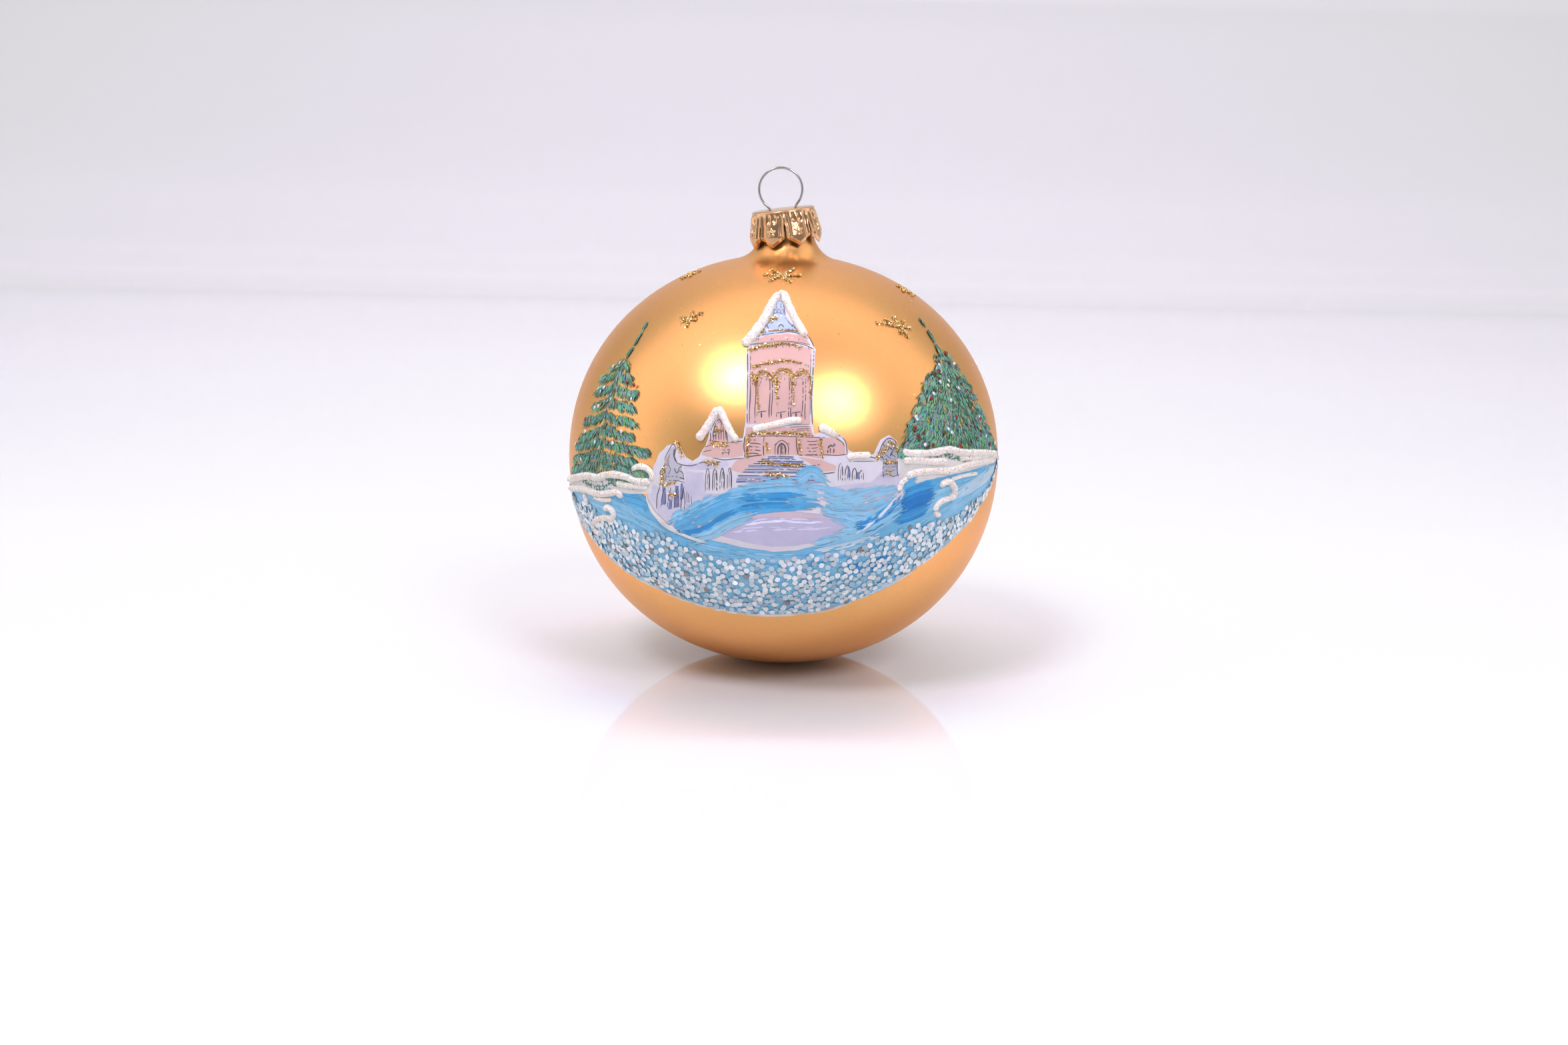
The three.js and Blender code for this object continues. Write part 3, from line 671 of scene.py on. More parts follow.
FINE, PEN, BROAD = 0.05, 0.075, 0.125
drawing = [
    (PEN, [(-2.2, 67.1), (-2.1, 68.3), (-1.9, 69.2), (-1.1, 69.6), (-0.5, 69.2), (-0.3, 68.3),
           (-0.1, 67.1)]),
    (FINE, [(-2.3, 68.2), (-1.3, 68.4), (-0.3, 68.2)]),
    (FINE, [(-2.2, 67.6), (-1.3, 67.8), (-0.2, 67.5)]), (FINE, [(-1.7, 69.2), (-1.7, 68.4)]),
    (FINE, [(-0.9, 69.3), (-0.9, 68.4)]), (FINE, arch(-1.8, 67.7, 0.2, 0.6)),
    (FINE, arch(-1.2, 67.8, 0.2, 0.6)), (FINE, arch(-0.6, 67.7, 0.2, 0.6)),
    (PEN, [(-2.3, 67.1), (-3.2, 65.9), (-4.3, 64.9), (-5.4, 64.1)]),
    (PEN, [(-0.1, 67.1), (0.7, 66.2), (2.0, 65.2)]),
    (PEN, [(-5.5, 63.8), (-3.4, 64.4), (-1.2, 64.7), (0.5, 64.9), (2.3, 64.6), (3.9, 63.8)]),
    (PEN, [(-4.2, 64.9), (-3.8, 65.4), (-3.4, 65.9), (-2.9, 65.3)]), (FINE, [(-3.9, 65.3), (-3.6, 65.6)]),
    (BROAD, [(-1.3, 65.6), (-0.8, 66.0), (-0.3, 65.6)]),
    (PEN, [(-1.0, 65.5), (-0.9, 65.1), (-0.6, 65.1)]), (BROAD, [(1.0, 65.7), (1.4, 66.0), (1.8, 65.5)]),
    (PEN, [(1.2, 65.4), (1.3, 65.1), (1.6, 65.1)]),
    (PEN, [(-6.4, 62.1), (-5.9, 62.7), (-3.4, 63.0), (-1.0, 63.2), (1.0, 63.2), (3.2, 62.9),
           (4.9, 62.2)]),
    (FINE, [(-5.6, 62.9), (-1, 63.4), (2, 63.3), (4.2, 62.9)]),
    (PEN, [(4.0, 64.2), (4.6, 63.2), (5.0, 62.2)]), (PEN, [(-6.4, 62.0), (-6.3, 57), (-6.2, 50)]),
    (PEN, [(4.9, 62.0), (4.7, 57), (4.6, 54), (4.8, 50.2)]), (FINE, [(-5.9, 61), (-5.8, 57), (-5.9, 52)]),
    (FINE, [(4.4, 61.4), (4.3, 57), (4.4, 51.8)]), (PEN, [(-5.4, 59.2), (-3.6, 59.8), (-1.6, 60.1)]),
    (PEN, [(-0.9, 60.2), (1.2, 60.4), (2.4, 59.9)]), (PEN, [(-5.8, 57.9), (-5.1, 58.2)]),
    (PEN, [(-4.7, 58.4), (-3.8, 58.8), (-2.9, 58.3)]),
    (PEN, [(-1.6, 58.6), (-0.6, 59.1), (0.4, 59.1), (1.2, 58.4)]),
    (PEN, [(1.9, 58.5), (2.8, 59.2), (4.2, 58.3)]),
    (PEN, [(-6, 48.3), (-3, 48.6), (1, 48.7), (5.1, 48.4)]),
    (PEN, [(-6.6, 48.0), (-2, 48.3), (3, 48.2), (7, 48.1)]),
    (PEN, [(-6.6, 48), (-6.7, 46.5), (-6.5, 44.6)]), (PEN, [(6.5, 48), (6.4, 46.5), (6.7, 44.5)]),
    (PEN, [(-3.3, 48.2), (-3.4, 46.5), (-3.3, 45)]), (PEN, [(2.1, 48.2), (2.2, 46.6), (2.5, 45.2)]),
    (PEN, [(-3.6, 45.1), (-5, 44.9), (-6.5, 44.6)]), (PEN, [(2.6, 45.2), (4.5, 45.2), (6.6, 45.1)]),
    (PEN, arch(-0.3, 45.2, 1.1, 2.4)), (BROAD, arch(-0.3, 45.2, 0.62, 1.9)),
    (PEN, [(-0.5, 45.2), (-0.5, 46.8)]), (PEN, [(-0.1, 45.2), (-0.1, 46.8)]),
    (PEN, [(-0.3, 45.3), (-0.3, 47)]), (FINE, [(-1.6, 46.8), (-1.2, 47.1)]),
    (FINE, [(-1.7, 46.2), (-1.4, 46.4)]), (FINE, [(1.1, 46.9), (0.7, 47.2)]),
    (FINE, [(-0.7, 47.8), (-0.6, 48)]), (FINE, [(0.2, 47.7), (0.4, 48)]),
    (FINE, [(1.2, 46.2), (0.9, 46.3)]), (PEN, [(9.2, 48.5), (10.1, 47.9), (10.6, 47), (10.8, 45.2)]),
    (PEN, [(8.9, 47.9), (9.9, 47.3), (10.3, 46.6)]), (BROAD, arch(8.0, 45.5, 0.5, 1.3)),
    (PEN, [(7.9, 45.5), (7.9, 46.4)]), (PEN, [(6.7, 45.3), (9, 45.1), (10.9, 45.3)]),
    (PEN, [(10.9, 44.8), (12.6, 44.5), (14.4, 44.7), (16, 44.3)]),
    (FINE, [(11, 44.1), (13, 44), (15.6, 43.9)]), (PEN,
                                                   [(-12.4, 46.9), (-12.4, 48.4), (-11.9, 49.8),
                                                    (-11, 51.5), (-10.2, 49.8), (-9.7, 48.4),
                                                    (-9.4, 46.9)]),
    (PEN, [(-11.9, 47.2), (-11.8, 49.2), (-11, 50.6), (-10.3, 49.2), (-10.1, 47.2)]),
    (FINE, arch(-11, 48.9, 0.35, 1.3)), (BROAD, [(-11.8, 48.8), (-11, 49.0), (-10.3, 48.7)]),
    (PEN, [(-11.5, 48.7), (-11.5, 47.3)]), (PEN, [(-11.0, 48.7), (-11.0, 47.3)]),
    (PEN, [(-10.6, 48.7), (-10.6, 47.3)]), (PEN, [(-9.9, 48.8), (-9.7, 47.3)]),
    (PEN, [(-12.7, 47.1), (-10, 46.9), (-6.9, 47.3)]), (FINE, [(-13.4, 45.9), (-12.4, 46.3)]),
    (FINE, [(-13.6, 45.1), (-12.2, 45.5)]), (PEN, [(-10.3, 44.8), (-10.2, 45.7), (-9.8, 45.5),
                                                   (-9.2, 45.8), (-9.3, 44.8)]),
    (FINE, [(-10.5, 45.1), (-9.1, 45.3)]), (PEN, [(-12, 44.2), (-10, 44.0), (-8, 44.3), (-6.7, 44.4)]),
    (PEN, [(-17.6, 42.6), (-15.6, 42.6), (-13.4, 43.4), (-10.6, 43.6)]),
    (FINE, [(-13, 42.9), (-11, 43.2)]), (PEN, [(-21.2, 38.4), (-20.9, 40), (-21.1, 40.9), (-20.2, 42.4),
           (-20.3, 43.3), (-19.6, 44.8), (-18.9, 45.9), (-18.4, 45.2), (-18.6, 43.9), (-18.2, 42.9),
           (-17.3, 42.5), (-17.9, 41.7), (-17.1, 41.2), (-16.9, 39.9)]),
    (BROAD, [(-18.6, 45.2), (-18.7, 44), (-18.2, 42.9)]),
    (PEN, [(-19.4, 44.2), (-19.8, 42.8), (-19.3, 41.6), (-19.7, 40.6)]),
    (PEN, [(-19.8, 40.3), (-18.4, 40.5), (-16.8, 40.2)]),
    (PEN, [(-19.5, 39.7), (-18, 39.8), (-16.8, 39.6)]),
    (PEN, [(-17.8, 41.6), (-18.2, 41.1), (-18.6, 41.9)]),
    (FINE, [(-20.4, 41.6), (-20, 40.4), (-20.4, 39.4)]),
    (PEN, [(-21.7, 34.4), (-21.6, 36.6), (-21.1, 38.4)]),
    (PEN, [(-16.8, 34.9), (-16.7, 36.6), (-17, 38.9)]), (PEN, [(-15.9, 35.4), (-16.1, 37.8)]),
    (FINE, [(-15.5, 35.6), (-15.6, 37.4)]), (FINE, [(-16.3, 35.4), (-16.4, 38.2)]),
    (PEN, [(15.8, 44.2), (16.4, 45.6), (17, 46.9), (18, 47.6), (19.2, 46.9), (19.6, 45.6), (19.5, 44)]),
    (PEN, [(17, 46.7), (17.4, 45.6), (16.8, 44.8), (17.3, 43.8)]),
    (PEN, [(17.8, 47.2), (18.1, 46.2), (17.7, 45.4)]),
    (PEN, [(18.6, 47), (18.9, 46), (18.4, 45), (19.2, 44.4)]),
    (BROAD, [(18.2, 46), (18.6, 45.4), (18.2, 44.6)]), (PEN, [(17.1, 43.7), (17, 42.4), (17.2, 41)]),
    (PEN, [(19.5, 43.8), (19.5, 42.2), (19.7, 41)]), (PEN, [(17, 43.5), (18.2, 43.3), (19.5, 43.5)]),
    (FINE, [(17, 42.9), (18.4, 42.7), (19.5, 42.8)]),
    (PEN, [(16.6, 41.3), (17.8, 41.6), (18.8, 41.1), (19.9, 41.4)]),
    (FINE, [(17.2, 42.2), (18.1, 42), (19.2, 42.2)]), (PEN, [(17.4, 45.0), (17.9, 44.5), (18.8, 43.9)]),
    (FINE, [(16.9, 46), (16.4, 44.9), (16.9, 44.3)])]
for x in (-5.8, -4.9, -2.5, -2.1, 0.8, 1.15, 3.1, 3.55):
    drawing.append((PEN, [(x, 57.2), (x + 0.05, 54.5), (x - 0.06, 52.4), (x, 51.0 if x > -4 else 50.3)]))
for x in (-3.85, -0.55, 2.0):
    drawing.append((PEN, [(x - 0.8, 52.0), (x, 52.2), (x + 0.85, 52.3)]))
    drawing.append((BROAD, [(x, 52.1), (x + 0.05, 51.2)]))
    drawing.append((FINE, [(x - 0.75, 51.9), (x - 0.75, 51.4)]))
drawing.append((PEN, [(2.9, 52.2), (2.9, 51.5)]))
for x in (-4.9, -4.6, -2.4, -2.1, 0.4, 2.3):
    drawing.append((FINE, [(x, 63.9), (x - 0.05, 63.4)]))
for k in range(9):
    drawing.append((FINE, [(-4.8 + 1.1 * k, 62.4 + 0.5 * math.sin(k / 3)),
                           (-4.8 + 1.1 * k, 61.9 + 0.5 * math.sin(k / 3))]))
for k in range(10):
    drawing.append((FINE, [(-5 + k, 57.7 - 0.5 * (k % 3 == 1)), (-5.1 + k, 57.1 - 0.5 * (k % 3 == 1))]))
for k in range(3):
    drawing.append((FINE, [(3.4 + 0.3 * k, 60.0 - 0.1 * k), (3.4 + 0.3 * k, 59.5 - 0.1 * k)]))
for height in (50.2, 49.9, 49.5, 49.2):
    drawing.append((FINE, [(0.6 + (50.2 - height), height - 0.15), (2.6, height), (4.3, height + 0.05)]))
for k in range(5):
    height = 47.5 - 0.55 * k
    drawing.append((PEN, [(-5.9 + 0.2 * (k % 2), height), (-4.9, height + 0.05),
                          (-4.1 + 0.3 * (k % 2), height - 0.05)]))
    drawing.append((PEN, [(3.9 + 0.3 * (k % 2), height), (4.9, height - 0.05),
                          (5.8 - 0.2 * (k % 2), height + 0.05)]))
for half, height in ((2.2, 44.9), (3.2, 44.5), (4.0, 44.1), (4.6, 43.7), (5.4, 43.3), (6.0, 42.7),
                     (6.4, 42.2), (7.2, 41.6), (7.4, 41.0)):
    drawing.append((PEN, [(-half - 0.5, height - 0.1), (-0.6, height + 0.08),
                          (half - 0.6, height - 0.05)]))
drawing += [(PEN, [(-7.9, 40.4), (-5, 40.7), (-2.4, 40.8)]),
            (PEN, [(-7.7, 39.7), (-5, 40), (-2.6, 40.0)]), (PEN, [(4.6, 43.4), (6.2, 43.6)]),
            (PEN, [(4.2, 42.2), (7.2, 42.1), (8.8, 42.3)])]
for k in range(4):
    drawing.append((PEN, arch(-12.8 + 1.25 * k, 38.4 + 0.25 * k, 0.36, 4.0 - 0.15 * k)))
    drawing.append((FINE, arch(-12.7 + 1.25 * k, 38.7 + 0.25 * k, 0.16, 2.8)))
    drawing.append((PEN, arch(9.7 + 1.2 * k, 40.8, 0.36, 3.0 - 0.45 * k)))
    drawing.append((FINE, [(9.7 + 1.2 * k, 41), (9.8 + 1.2 * k, 42.9 - 0.3 * k)]))
    drawing.append((PEN, [(-20.9 + 1.15 * k, 34.9), (-20.7 + 1.15 * k, 36.8),
                          (-20.3 + 1.15 * k, 38.3 + 0.2 * k)]))
    drawing.append((FINE, [(-20.3 + 1.15 * k, 35.2), (-20.1 + 1.15 * k, 36.2), (-20.2 + 1.15 * k, 37.4)]))
for k in range(13):
    drawing.append((BROAD, [(-22 + 0.45 * k, 34.0 + 0.12 * (k % 3)),
                            (-21.85 + 0.45 * k, 33.95 + 0.1 * (k % 2))]))
    drawing.append((BROAD, [(8.6 + 0.55 * k, 39.9 - 0.2 * (k % 3)),
                            (8.75 + 0.55 * k, 39.8 - 0.1 * (k % 3))]))
    drawing.append((BROAD, [(-14 + 0.45 * k, 38.2 + 0.08 * k), (-13.9 + 0.45 * k, 38.1 + 0.08 * k)]))
dice = random.Random(7)
for half, line in drawing:
    steps = trail([front(*p) for p in line], 0.25)
    while len(steps) > 2:
        run = max(3, int(dice.expovariate(0.06)))
        stripe(town_paper, steps[:run], 0.0, half * dice.uniform(0.7, 1.15), PAPER + INK, 0.01, 7,
               taper=0.4)
        steps = steps[run:]
picture = town_paper.make("town_scene_paper", [
    wash("rag_paper", "#DCD6DB", "#D1CBD4"), wash("rose_wash", "#D2A9A4", "#DAB6B0"),
    wash("sky_blue_wash", "#B1BDD5", "#C3CCDD"), wash("lilac_wash", "#BDB8CF", "#D0CAD8"),
    wash("grey_lilac_wash", "#A9A8B5", "#BFBDC8"), wash("periwinkle_wash", "#8290B8", "#A0A6C6"),
    wash("slate_blue_wash", "#666E9C", "#8489AE"), wash("waterproof_ink", "#4A3F49", "#6E626A", 900.0,
                                                        0.5)])
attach(picture, "ball")
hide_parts("picture_paper")

# ---------------------------------------------------------------------------
# Water: acrylic paint in blues and white, brushed on in long curved strokes that
# run over the bottom of the paper and leave it bare where the brush ran dry.
# ---------------------------------------------------------------------------
def brush(skin, spots, width, tints, dice, lift=0.06, dry=0.0, bristle=0.26, finish=0, ragged=0.22):
    """One brush stroke: the marks of its bristles side by side, uneven in colour, length and height."""
    steps = trail(spots, 0.6)
    count, last = max(2, round(width / bristle)), len(steps) - 1
    for b in range(count):
        aside = (b + 0.5) / count - 0.5
        mix = 0.5 + 0.5 * noise.noise(Vector((b * 0.31, spots[0][0] * 0.9, spots[0][1] * 0.7)))
        mix = min(1.0, max(0.0, mix + dice.uniform(-0.22, 0.22)))
        tint = [p + (q - p) * mix for p, q in zip(*tints)]
        start = round(dice.random() * ragged * (0.3 + 2 * abs(aside)) * last * 0.6)
        stop = last - round(dice.random() * ragged * (0.4 + 2 * abs(aside)) * last)
        runs, i = [], start
        while i < stop:
            length = stop - i if dry == 0 else min(stop - i, 2 + int(dice.expovariate(0.05 + dry * 0.5)))
            if length >= 2:
                runs.append((i, i + length))
            i += length + 1 + int(dice.expovariate(1 / (0.3 + 4 * dry)))
        for first, end in runs:
            bend = 0.12 * math.sin(b * 1.7)
            stripe(skin, steps[first:end + 1], aside * width + bend * 0.5,
                   bristle * dice.uniform(0.52, 0.72), lift + dice.uniform(0, 0.015),
                   dice.uniform(0.012, 0.03), finish, tint, taper=0.25)


def acrylic(name, roughness=0.42, streak=300.0):
    """Artist's acrylic: a slight plastic shine, with the tint of each brush mark and finer streaks in it."""
    material, shader = new_material(name, Roughness=roughness, Specular_IOR_Level=0.5)
    tree = material.node_tree
    tint = add_node(tree, "ShaderNodeAttribute", {"attribute_name": "paint"})
    place = add_node(tree, "ShaderNodeTexCoord")
    grain = add_node(
        tree, "ShaderNodeTexNoise", {"Scale": streak, "Detail": 4.0, "Roughness": 0.65},
        {"Vector": place.outputs["Object"]})
    shade = add_node(
        tree, "ShaderNodeMapRange", {"From Min": 0.3, "From Max": 0.7, "To Min": 0.86, "To Max": 1.1},
        {"Value": grain.outputs["Fac"]})
    colour = add_node(
        tree, "ShaderNodeVectorMath", {"operation": "SCALE"},
        {0: tint.outputs["Color"], "Scale": shade.outputs["Result"]})
    fine = add_node(
        tree, "ShaderNodeTexNoise", {"Scale": 1800.0, "Detail": 2.0}, {"Vector": place.outputs["Object"]})
    bump = add_node(
        tree, "ShaderNodeBump", {"Strength": 0.3, "Distance": 0.00004}, {"Height": fine.outputs["Fac"]})
    tree.links.new(colour.outputs["Vector"], shader.inputs["Base Color"])
    tree.links.new(bump.outputs["Normal"], shader.inputs["Normal"])
    return material


PALE, SKY, CLEAR, DEEP, CHALK = "#9CC8DF", "#6DB4DB", "#3F9FD6", "#0A74BE", "#D2DCE4"
dice = random.Random(11)
water = Skin()
shore = [(-78, 34.4), (-64, 36), (-50, 36.6), (-38, 36.4), (-32, 33.6), (-26, 32.2), (-16, 31), (-2, 30),
         (10, 31), (22, 33), (27, 36), (31, 39.6), (40, 40.2), (52, 40.4), (64, 40.4), (73, 40.2),
         (80, 40)]
outer_edge = [(-80, 31.8), (-76, 29.4), (-71, 27), (-64, 25), (-56, 22.6), (-50, 20.9), (-40, 19.2),
              (-28, 17.2), (-13, 15.9), (0, 15.9), (12, 16.7), (20, 18.1), (27, 20.1), (34, 21.9),
              (41, 24.4), (49, 27.6), (54, 29.4), (60, 31), (63, 33), (69, 35), (75, 37.6), (80, 40)]
WIDE = 1.5  # degrees of turn to each unit across when a long band is cut out, so that its cells are square


def wide_spot(across, height):
    return across * WIDE, height


def wide_band(upper, lower):
    """The outline between two lines over the ball, as wide_spot wants it."""
    return [(turn / WIDE, height) for turn, height in [*upper, *reversed(lower)]]


drape(water, wide_band(shore, outer_edge), 0.045, spot=wide_spot, grid=1.3, edge_to=0.0, tint=srgb(SKY))
strokes = [
    ([(-79, 35.5), (-66, 36), (-52, 35.6), (-38, 34.6)], 2.6, (PALE, SKY), 0.0, 0.06),
    ([(-79, 33.9), (-66, 34), (-52, 33.4), (-36, 32)], 2.8, (SKY, PALE), 0.0, 0.07),
    ([(-77, 32.2), (-62, 31.4), (-48, 30), (-30, 28.4)], 2.8, (PALE, SKY), 0.0, 0.06),
    ([(-49, 35.4), (-44, 35.6), (-37, 35.2), (-35, 33.4)], 2.4, (SKY, CLEAR), 0.02, 0.08),
    ([(-47, 33.4), (-42, 32.6), (-36, 31.2), (-28, 29.6)], 2.2, (PALE, SKY), 0.02, 0.09),
    ([(-72, 30), (-56, 27.6), (-40, 25.2), (-24, 23.6)], 3.6, (PALE, SKY), 0.0, 0.07),
    ([(-66, 27.4), (-48, 23.6), (-28, 20.9), (-10, 19.6)], 3.8, (SKY, PALE), 0.0, 0.06),
    ([(-52, 22.4), (-30, 19.6), (-12, 17.8), (6, 17.8)], 3.2, (PALE, SKY), 0.0, 0.07),
    ([(-32, 27.4), (-18, 25.4), (-2, 24.4), (14, 25.2)], 3.4, (PALE, SKY), 0.0, 0.06),
    ([(-16, 22.4), (0, 21.4), (16, 22), (32, 24.6)], 3.6, (SKY, PALE), 0.0, 0.07),
    ([(-6, 18.6), (10, 18.4), (24, 20.6), (38, 24)], 3.4, (PALE, SKY), 0.0, 0.06),
    ([(14, 25.8), (26, 27.2), (38, 29.8), (50, 32.6)], 3.6, (SKY, CLEAR), 0.0, 0.07),
    ([(30, 23.4), (42, 26.4), (52, 30), (60, 33.6)], 3.0, (PALE, SKY), 0.0, 0.06),
    ([(16, 24.4), (24, 25.2), (32, 26.8)], 2.4, (CLEAR, DEEP), 0.05, 0.09),
    ([(-26, 28.6), (-14, 27.6), (-2, 27), (10, 27.6)], 1.8, (PALE, SKY), 0.02, 0.08),
    ([(-8, 26.8), (4, 26.6), (16, 28), (26, 30.4)], 1.8, (CLEAR, PALE), 0.02, 0.09),
    ([(8, 28.6), (18, 29.8), (26, 31.4)], 1.2, (PALE, CHALK), 0.06, 0.1),
    ([(34, 30.2), (46, 33), (58, 35.4), (72, 37.6)], 3.2, (PALE, SKY), 0.0, 0.07),
    ([(31, 34.4), (44, 36.4), (56, 37.6), (76, 39.4)], 3.2, (SKY, PALE), 0.0, 0.06),
    ([(33, 38.6), (42, 39.4), (54, 39.4), (68, 39.8)], 2.6, (CLEAR, SKY), 0.0, 0.08),
    ([(31, 37.8), (36, 38.6), (42, 38.8)], 2.6, (DEEP, CLEAR), 0.0, 0.1),
    ([(30, 35.4), (36, 36.6), (42, 37.2)], 2.6, (DEEP, DEEP), 0.0, 0.11),
    ([(29, 33.4), (35, 34.2), (41, 35.4)], 2.2, (DEEP, CLEAR), 0.0, 0.1),
    ([(49, 36.2), (58, 37.4), (68, 38.4), (78, 39.4)], 2.2, (PALE, CHALK), 0.05, 0.1),
    ([(46, 34.2), (54, 35.6), (62, 36.8)], 1.8, (SKY, PALE), 0.05, 0.1)]
for spots, width, colours, dry, lift in strokes:
    brush(water, spots, width, [srgb(c) for c in colours], dice, lift, dry)
over = PAPER + 0.05
paper_strokes = [
    ([(-19.6, 30.9), (-16.6, 32.6), (-12.6, 35.2), (-8, 37.4), (-2.6, 38.2), (3, 38.6)], 3.0,
     (CLEAR, SKY), 0.02, 0.0),
    ([(-17.9, 30.2), (-13.4, 32.4), (-9, 35), (-3, 36.6), (3.4, 37), (8, 36.6)], 2.6, (SKY, CLEAR), 0.01,
     0.02),
    ([(-16, 29.6), (-12.2, 31), (-8.6, 33.4), (-4, 35.2)], 2.2, (SKY, PALE), 0.02, 0.03),
    ([(-19.4, 32.8), (-16.4, 34.6), (-12.8, 36.8), (-9.8, 38.4)], 1.6, (SKY, PALE), 0.2, 0.01),
    ([(-9.6, 38.3), (-4, 39.4), (1.4, 39.9), (6, 39.3)], 2.0, (SKY, PALE), 0.04, 0.03),
    ([(-7.6, 37.6), (-2, 38.2), (4, 38.4)], 1.4, (CLEAR, DEEP), 0.03, 0.05),
    ([(-8, 35.8), (-2.4, 36.6), (2.6, 36.5)], 1.0, (CLEAR, DEEP), 0.05, 0.05),
    ([(-17.4, 30.6), (-13.8, 31.6), (-10.6, 33.8), (-7.6, 35.6)], 0.8, (DEEP, CLEAR), 0.05, 0.05),
    ([(2.2, 40.8), (4.6, 42.4), (6.2, 41.6), (8.0, 40.4)], 2.2, (PALE, SKY), 0.03, 0.02),
    ([(1.8, 39.6), (6, 39), (10.4, 38.2), (14.6, 38.2)], 2.4, (SKY, PALE), 0.1, 0.0),
    ([(8, 37.2), (12, 37.8), (16, 38.4), (20.4, 38.9)], 2.4, (SKY, PALE), 0.2, 0.01),
    ([(6, 36.4), (10, 35.6), (14.6, 35.4), (19.6, 37)], 2.6, (PALE, SKY), 0.1, 0.02),
    ([(8.6, 35), (12.6, 33.6), (16.6, 34.2), (20.4, 36)], 2.2, (SKY, PALE), 0.05, 0.03),
    ([(8.6, 31.4), (12.6, 31.8), (16.4, 33.2), (20.6, 35.6)], 2.6, (PALE, SKY), 0.03, 0.02),
    ([(12, 32.6), (15, 33.6), (18.4, 35.6), (20.8, 38)], 1.6, (CLEAR, DEEP), 0.03, 0.05),
    ([(5, 29.8), (9.6, 30.6), (14, 31.4)], 1.8, (PALE, SKY), 0.08, 0.01),
    ([(19.6, 38.8), (21.4, 39.8), (23.2, 40.2)], 1.8, (SKY, CLEAR), 0.1, 0.02),
    ([(-3.6, 40.6), (1, 41), (5.4, 40.6)], 1.0, (PALE, SKY), 0.2, 0.01),
    ([(12.6, 31.4), (14.8, 33), (17.2, 35), (19.4, 37.4), (20.6, 38.8)], 0.36, (CHALK, CHALK), 0.3, 0.08)]
for spots, width, colours, dry, lift in paper_strokes:
    brush(water, [front(*s) for s in spots], width, [srgb(c) for c in colours], dice, over + lift, dry)
edging = [(t, h - 0.15) for t, h in outer_edge]
brush(water, edging, 0.5, [srgb("#D9D3C8"), srgb("#EFEDEA")], dice, 0.05, 0.06, 0.25)
for spots, width in (([(-23.4, 36.6), (-22.9, 34.6), (-21.4, 32.8), (-19, 31.4), (-17.6, 31)], 0.8),
                     ([(-21.9, 33), (-20, 31.5), (-17, 30.4), (-14, 29.6), (-11.6, 29.4)], 0.45)):
    brush(water, [front(*p) for p in spots], width, [srgb("#DDD6D4"), srgb("#E9E3E2")], dice, over + 0.05,
          0.02, 0.22)
water_paint = water.make("brushed_water_paint", [acrylic("blue_acrylic")])
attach(water_paint, "ball")
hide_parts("water_paint")

# ---------------------------------------------------------------------------
# Plain plaque: a lens-shaped part of the paper left clear of the blue paint, with
# a lilac wash and a white border below. Nothing is written on it.
# ---------------------------------------------------------------------------
plaque = Skin()
border = [(-12.0, 30.2), (-9.4, 29.5), (-6.6, 29), (-1.5, 28.3), (2.2, 28.6), (7.6, 29.8), (7.9, 30.4),
          (2, 29.5), (-1.6, 29.2), (-6, 29.8), (-9.6, 30.6), (-10.6, 31)]
field = [(-10.8, 30.9), (-9.4, 30.5), (-6, 29.8), (-1.6, 29.2), (2, 29.5), (6.6, 30.3), (8.2, 31),
         (10.4, 32.6), (11.6, 33.4), (9, 34.3), (6, 35.2), (0.6, 35.7), (-4.2, 35.1), (-6.8, 33.6),
         (-9, 31.8)]
blush = [(-6.2, 34), (-4.4, 35), (0.6, 35.6), (6, 35.1), (8.6, 34.4), (6, 34.5), (2, 34.3), (-2, 34.6)]
drape(plaque, border, over - 0.03, 0, edge_to=PAPER, wander=0.12, grid=0.8)
drape(plaque, field, over - 0.025, 1, wander=0.15)
drape(plaque, blush, over - 0.015, 2, wander=0.25)
for ends in ([(-6.6, 33), (-3, 33.9), (2, 34.0), (7.6, 33.7)],
             [(-8.6, 31.6), (-4, 32.4), (3, 32.5), (9, 32.8)]):
    brush(plaque, [front(*p) for p in ends], 0.8, [srgb("#E9E4F2"), srgb("#CFC6E2")], dice, over - 0.015,
          0.6, finish=3)
plaque_piece = plaque.make("plain_plaque", [
    wash("bare_rag_paper", "#D9D3D8", "#D2CBD3"), wash("lavender_wash", "#B3AECB", "#C2BCD4"),
    wash("blush_wash", "#C9B2C1", "#D0BCC6"), acrylic("thinned_acrylic", 0.55)])
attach(plaque_piece, "ball")
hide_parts("plain_patch")

# ---------------------------------------------------------------------------
# Sequin band: 1 mm hexagons punched from pearly film, sprinkled thickly into wet
# varnish along the lower edge of the water, so that they lie every way up.
# ---------------------------------------------------------------------------
def plate(skin, centre, normal, spin, radius, thickness, finish, sides=6):
    """A small flat many-sided chip of film, with its corners and edge."""
    across = normal.orthogonal().normalized()
    other = normal.cross(across)
    points = []
    for level in (-0.5, 0.5):
        for k in range(sides):
            angle = spin + 2 * math.pi * k / sides
            points.append(centre + (across * math.cos(angle) + other * math.sin(angle)) * radius
                          + normal * thickness * level)
    faces = [tuple(range(sides - 1, -1, -1)), tuple(range(sides, 2 * sides))]
    faces += [(k, (k + 1) % sides, sides + (k + 1) % sides, sides + k) for k in range(sides)]
    skin.add(points, faces, finish)


def tipped(normal, dice, most):
    """A direction up to so many degrees away from another."""
    aside = normal.orthogonal().normalized()
    aside.rotate(Matrix.Rotation(dice.uniform(0, 2 * math.pi), 3, normal))
    angle = math.radians(most) * math.sqrt(dice.random())
    return (normal * math.cos(angle) + aside * math.sin(angle)).normalized()


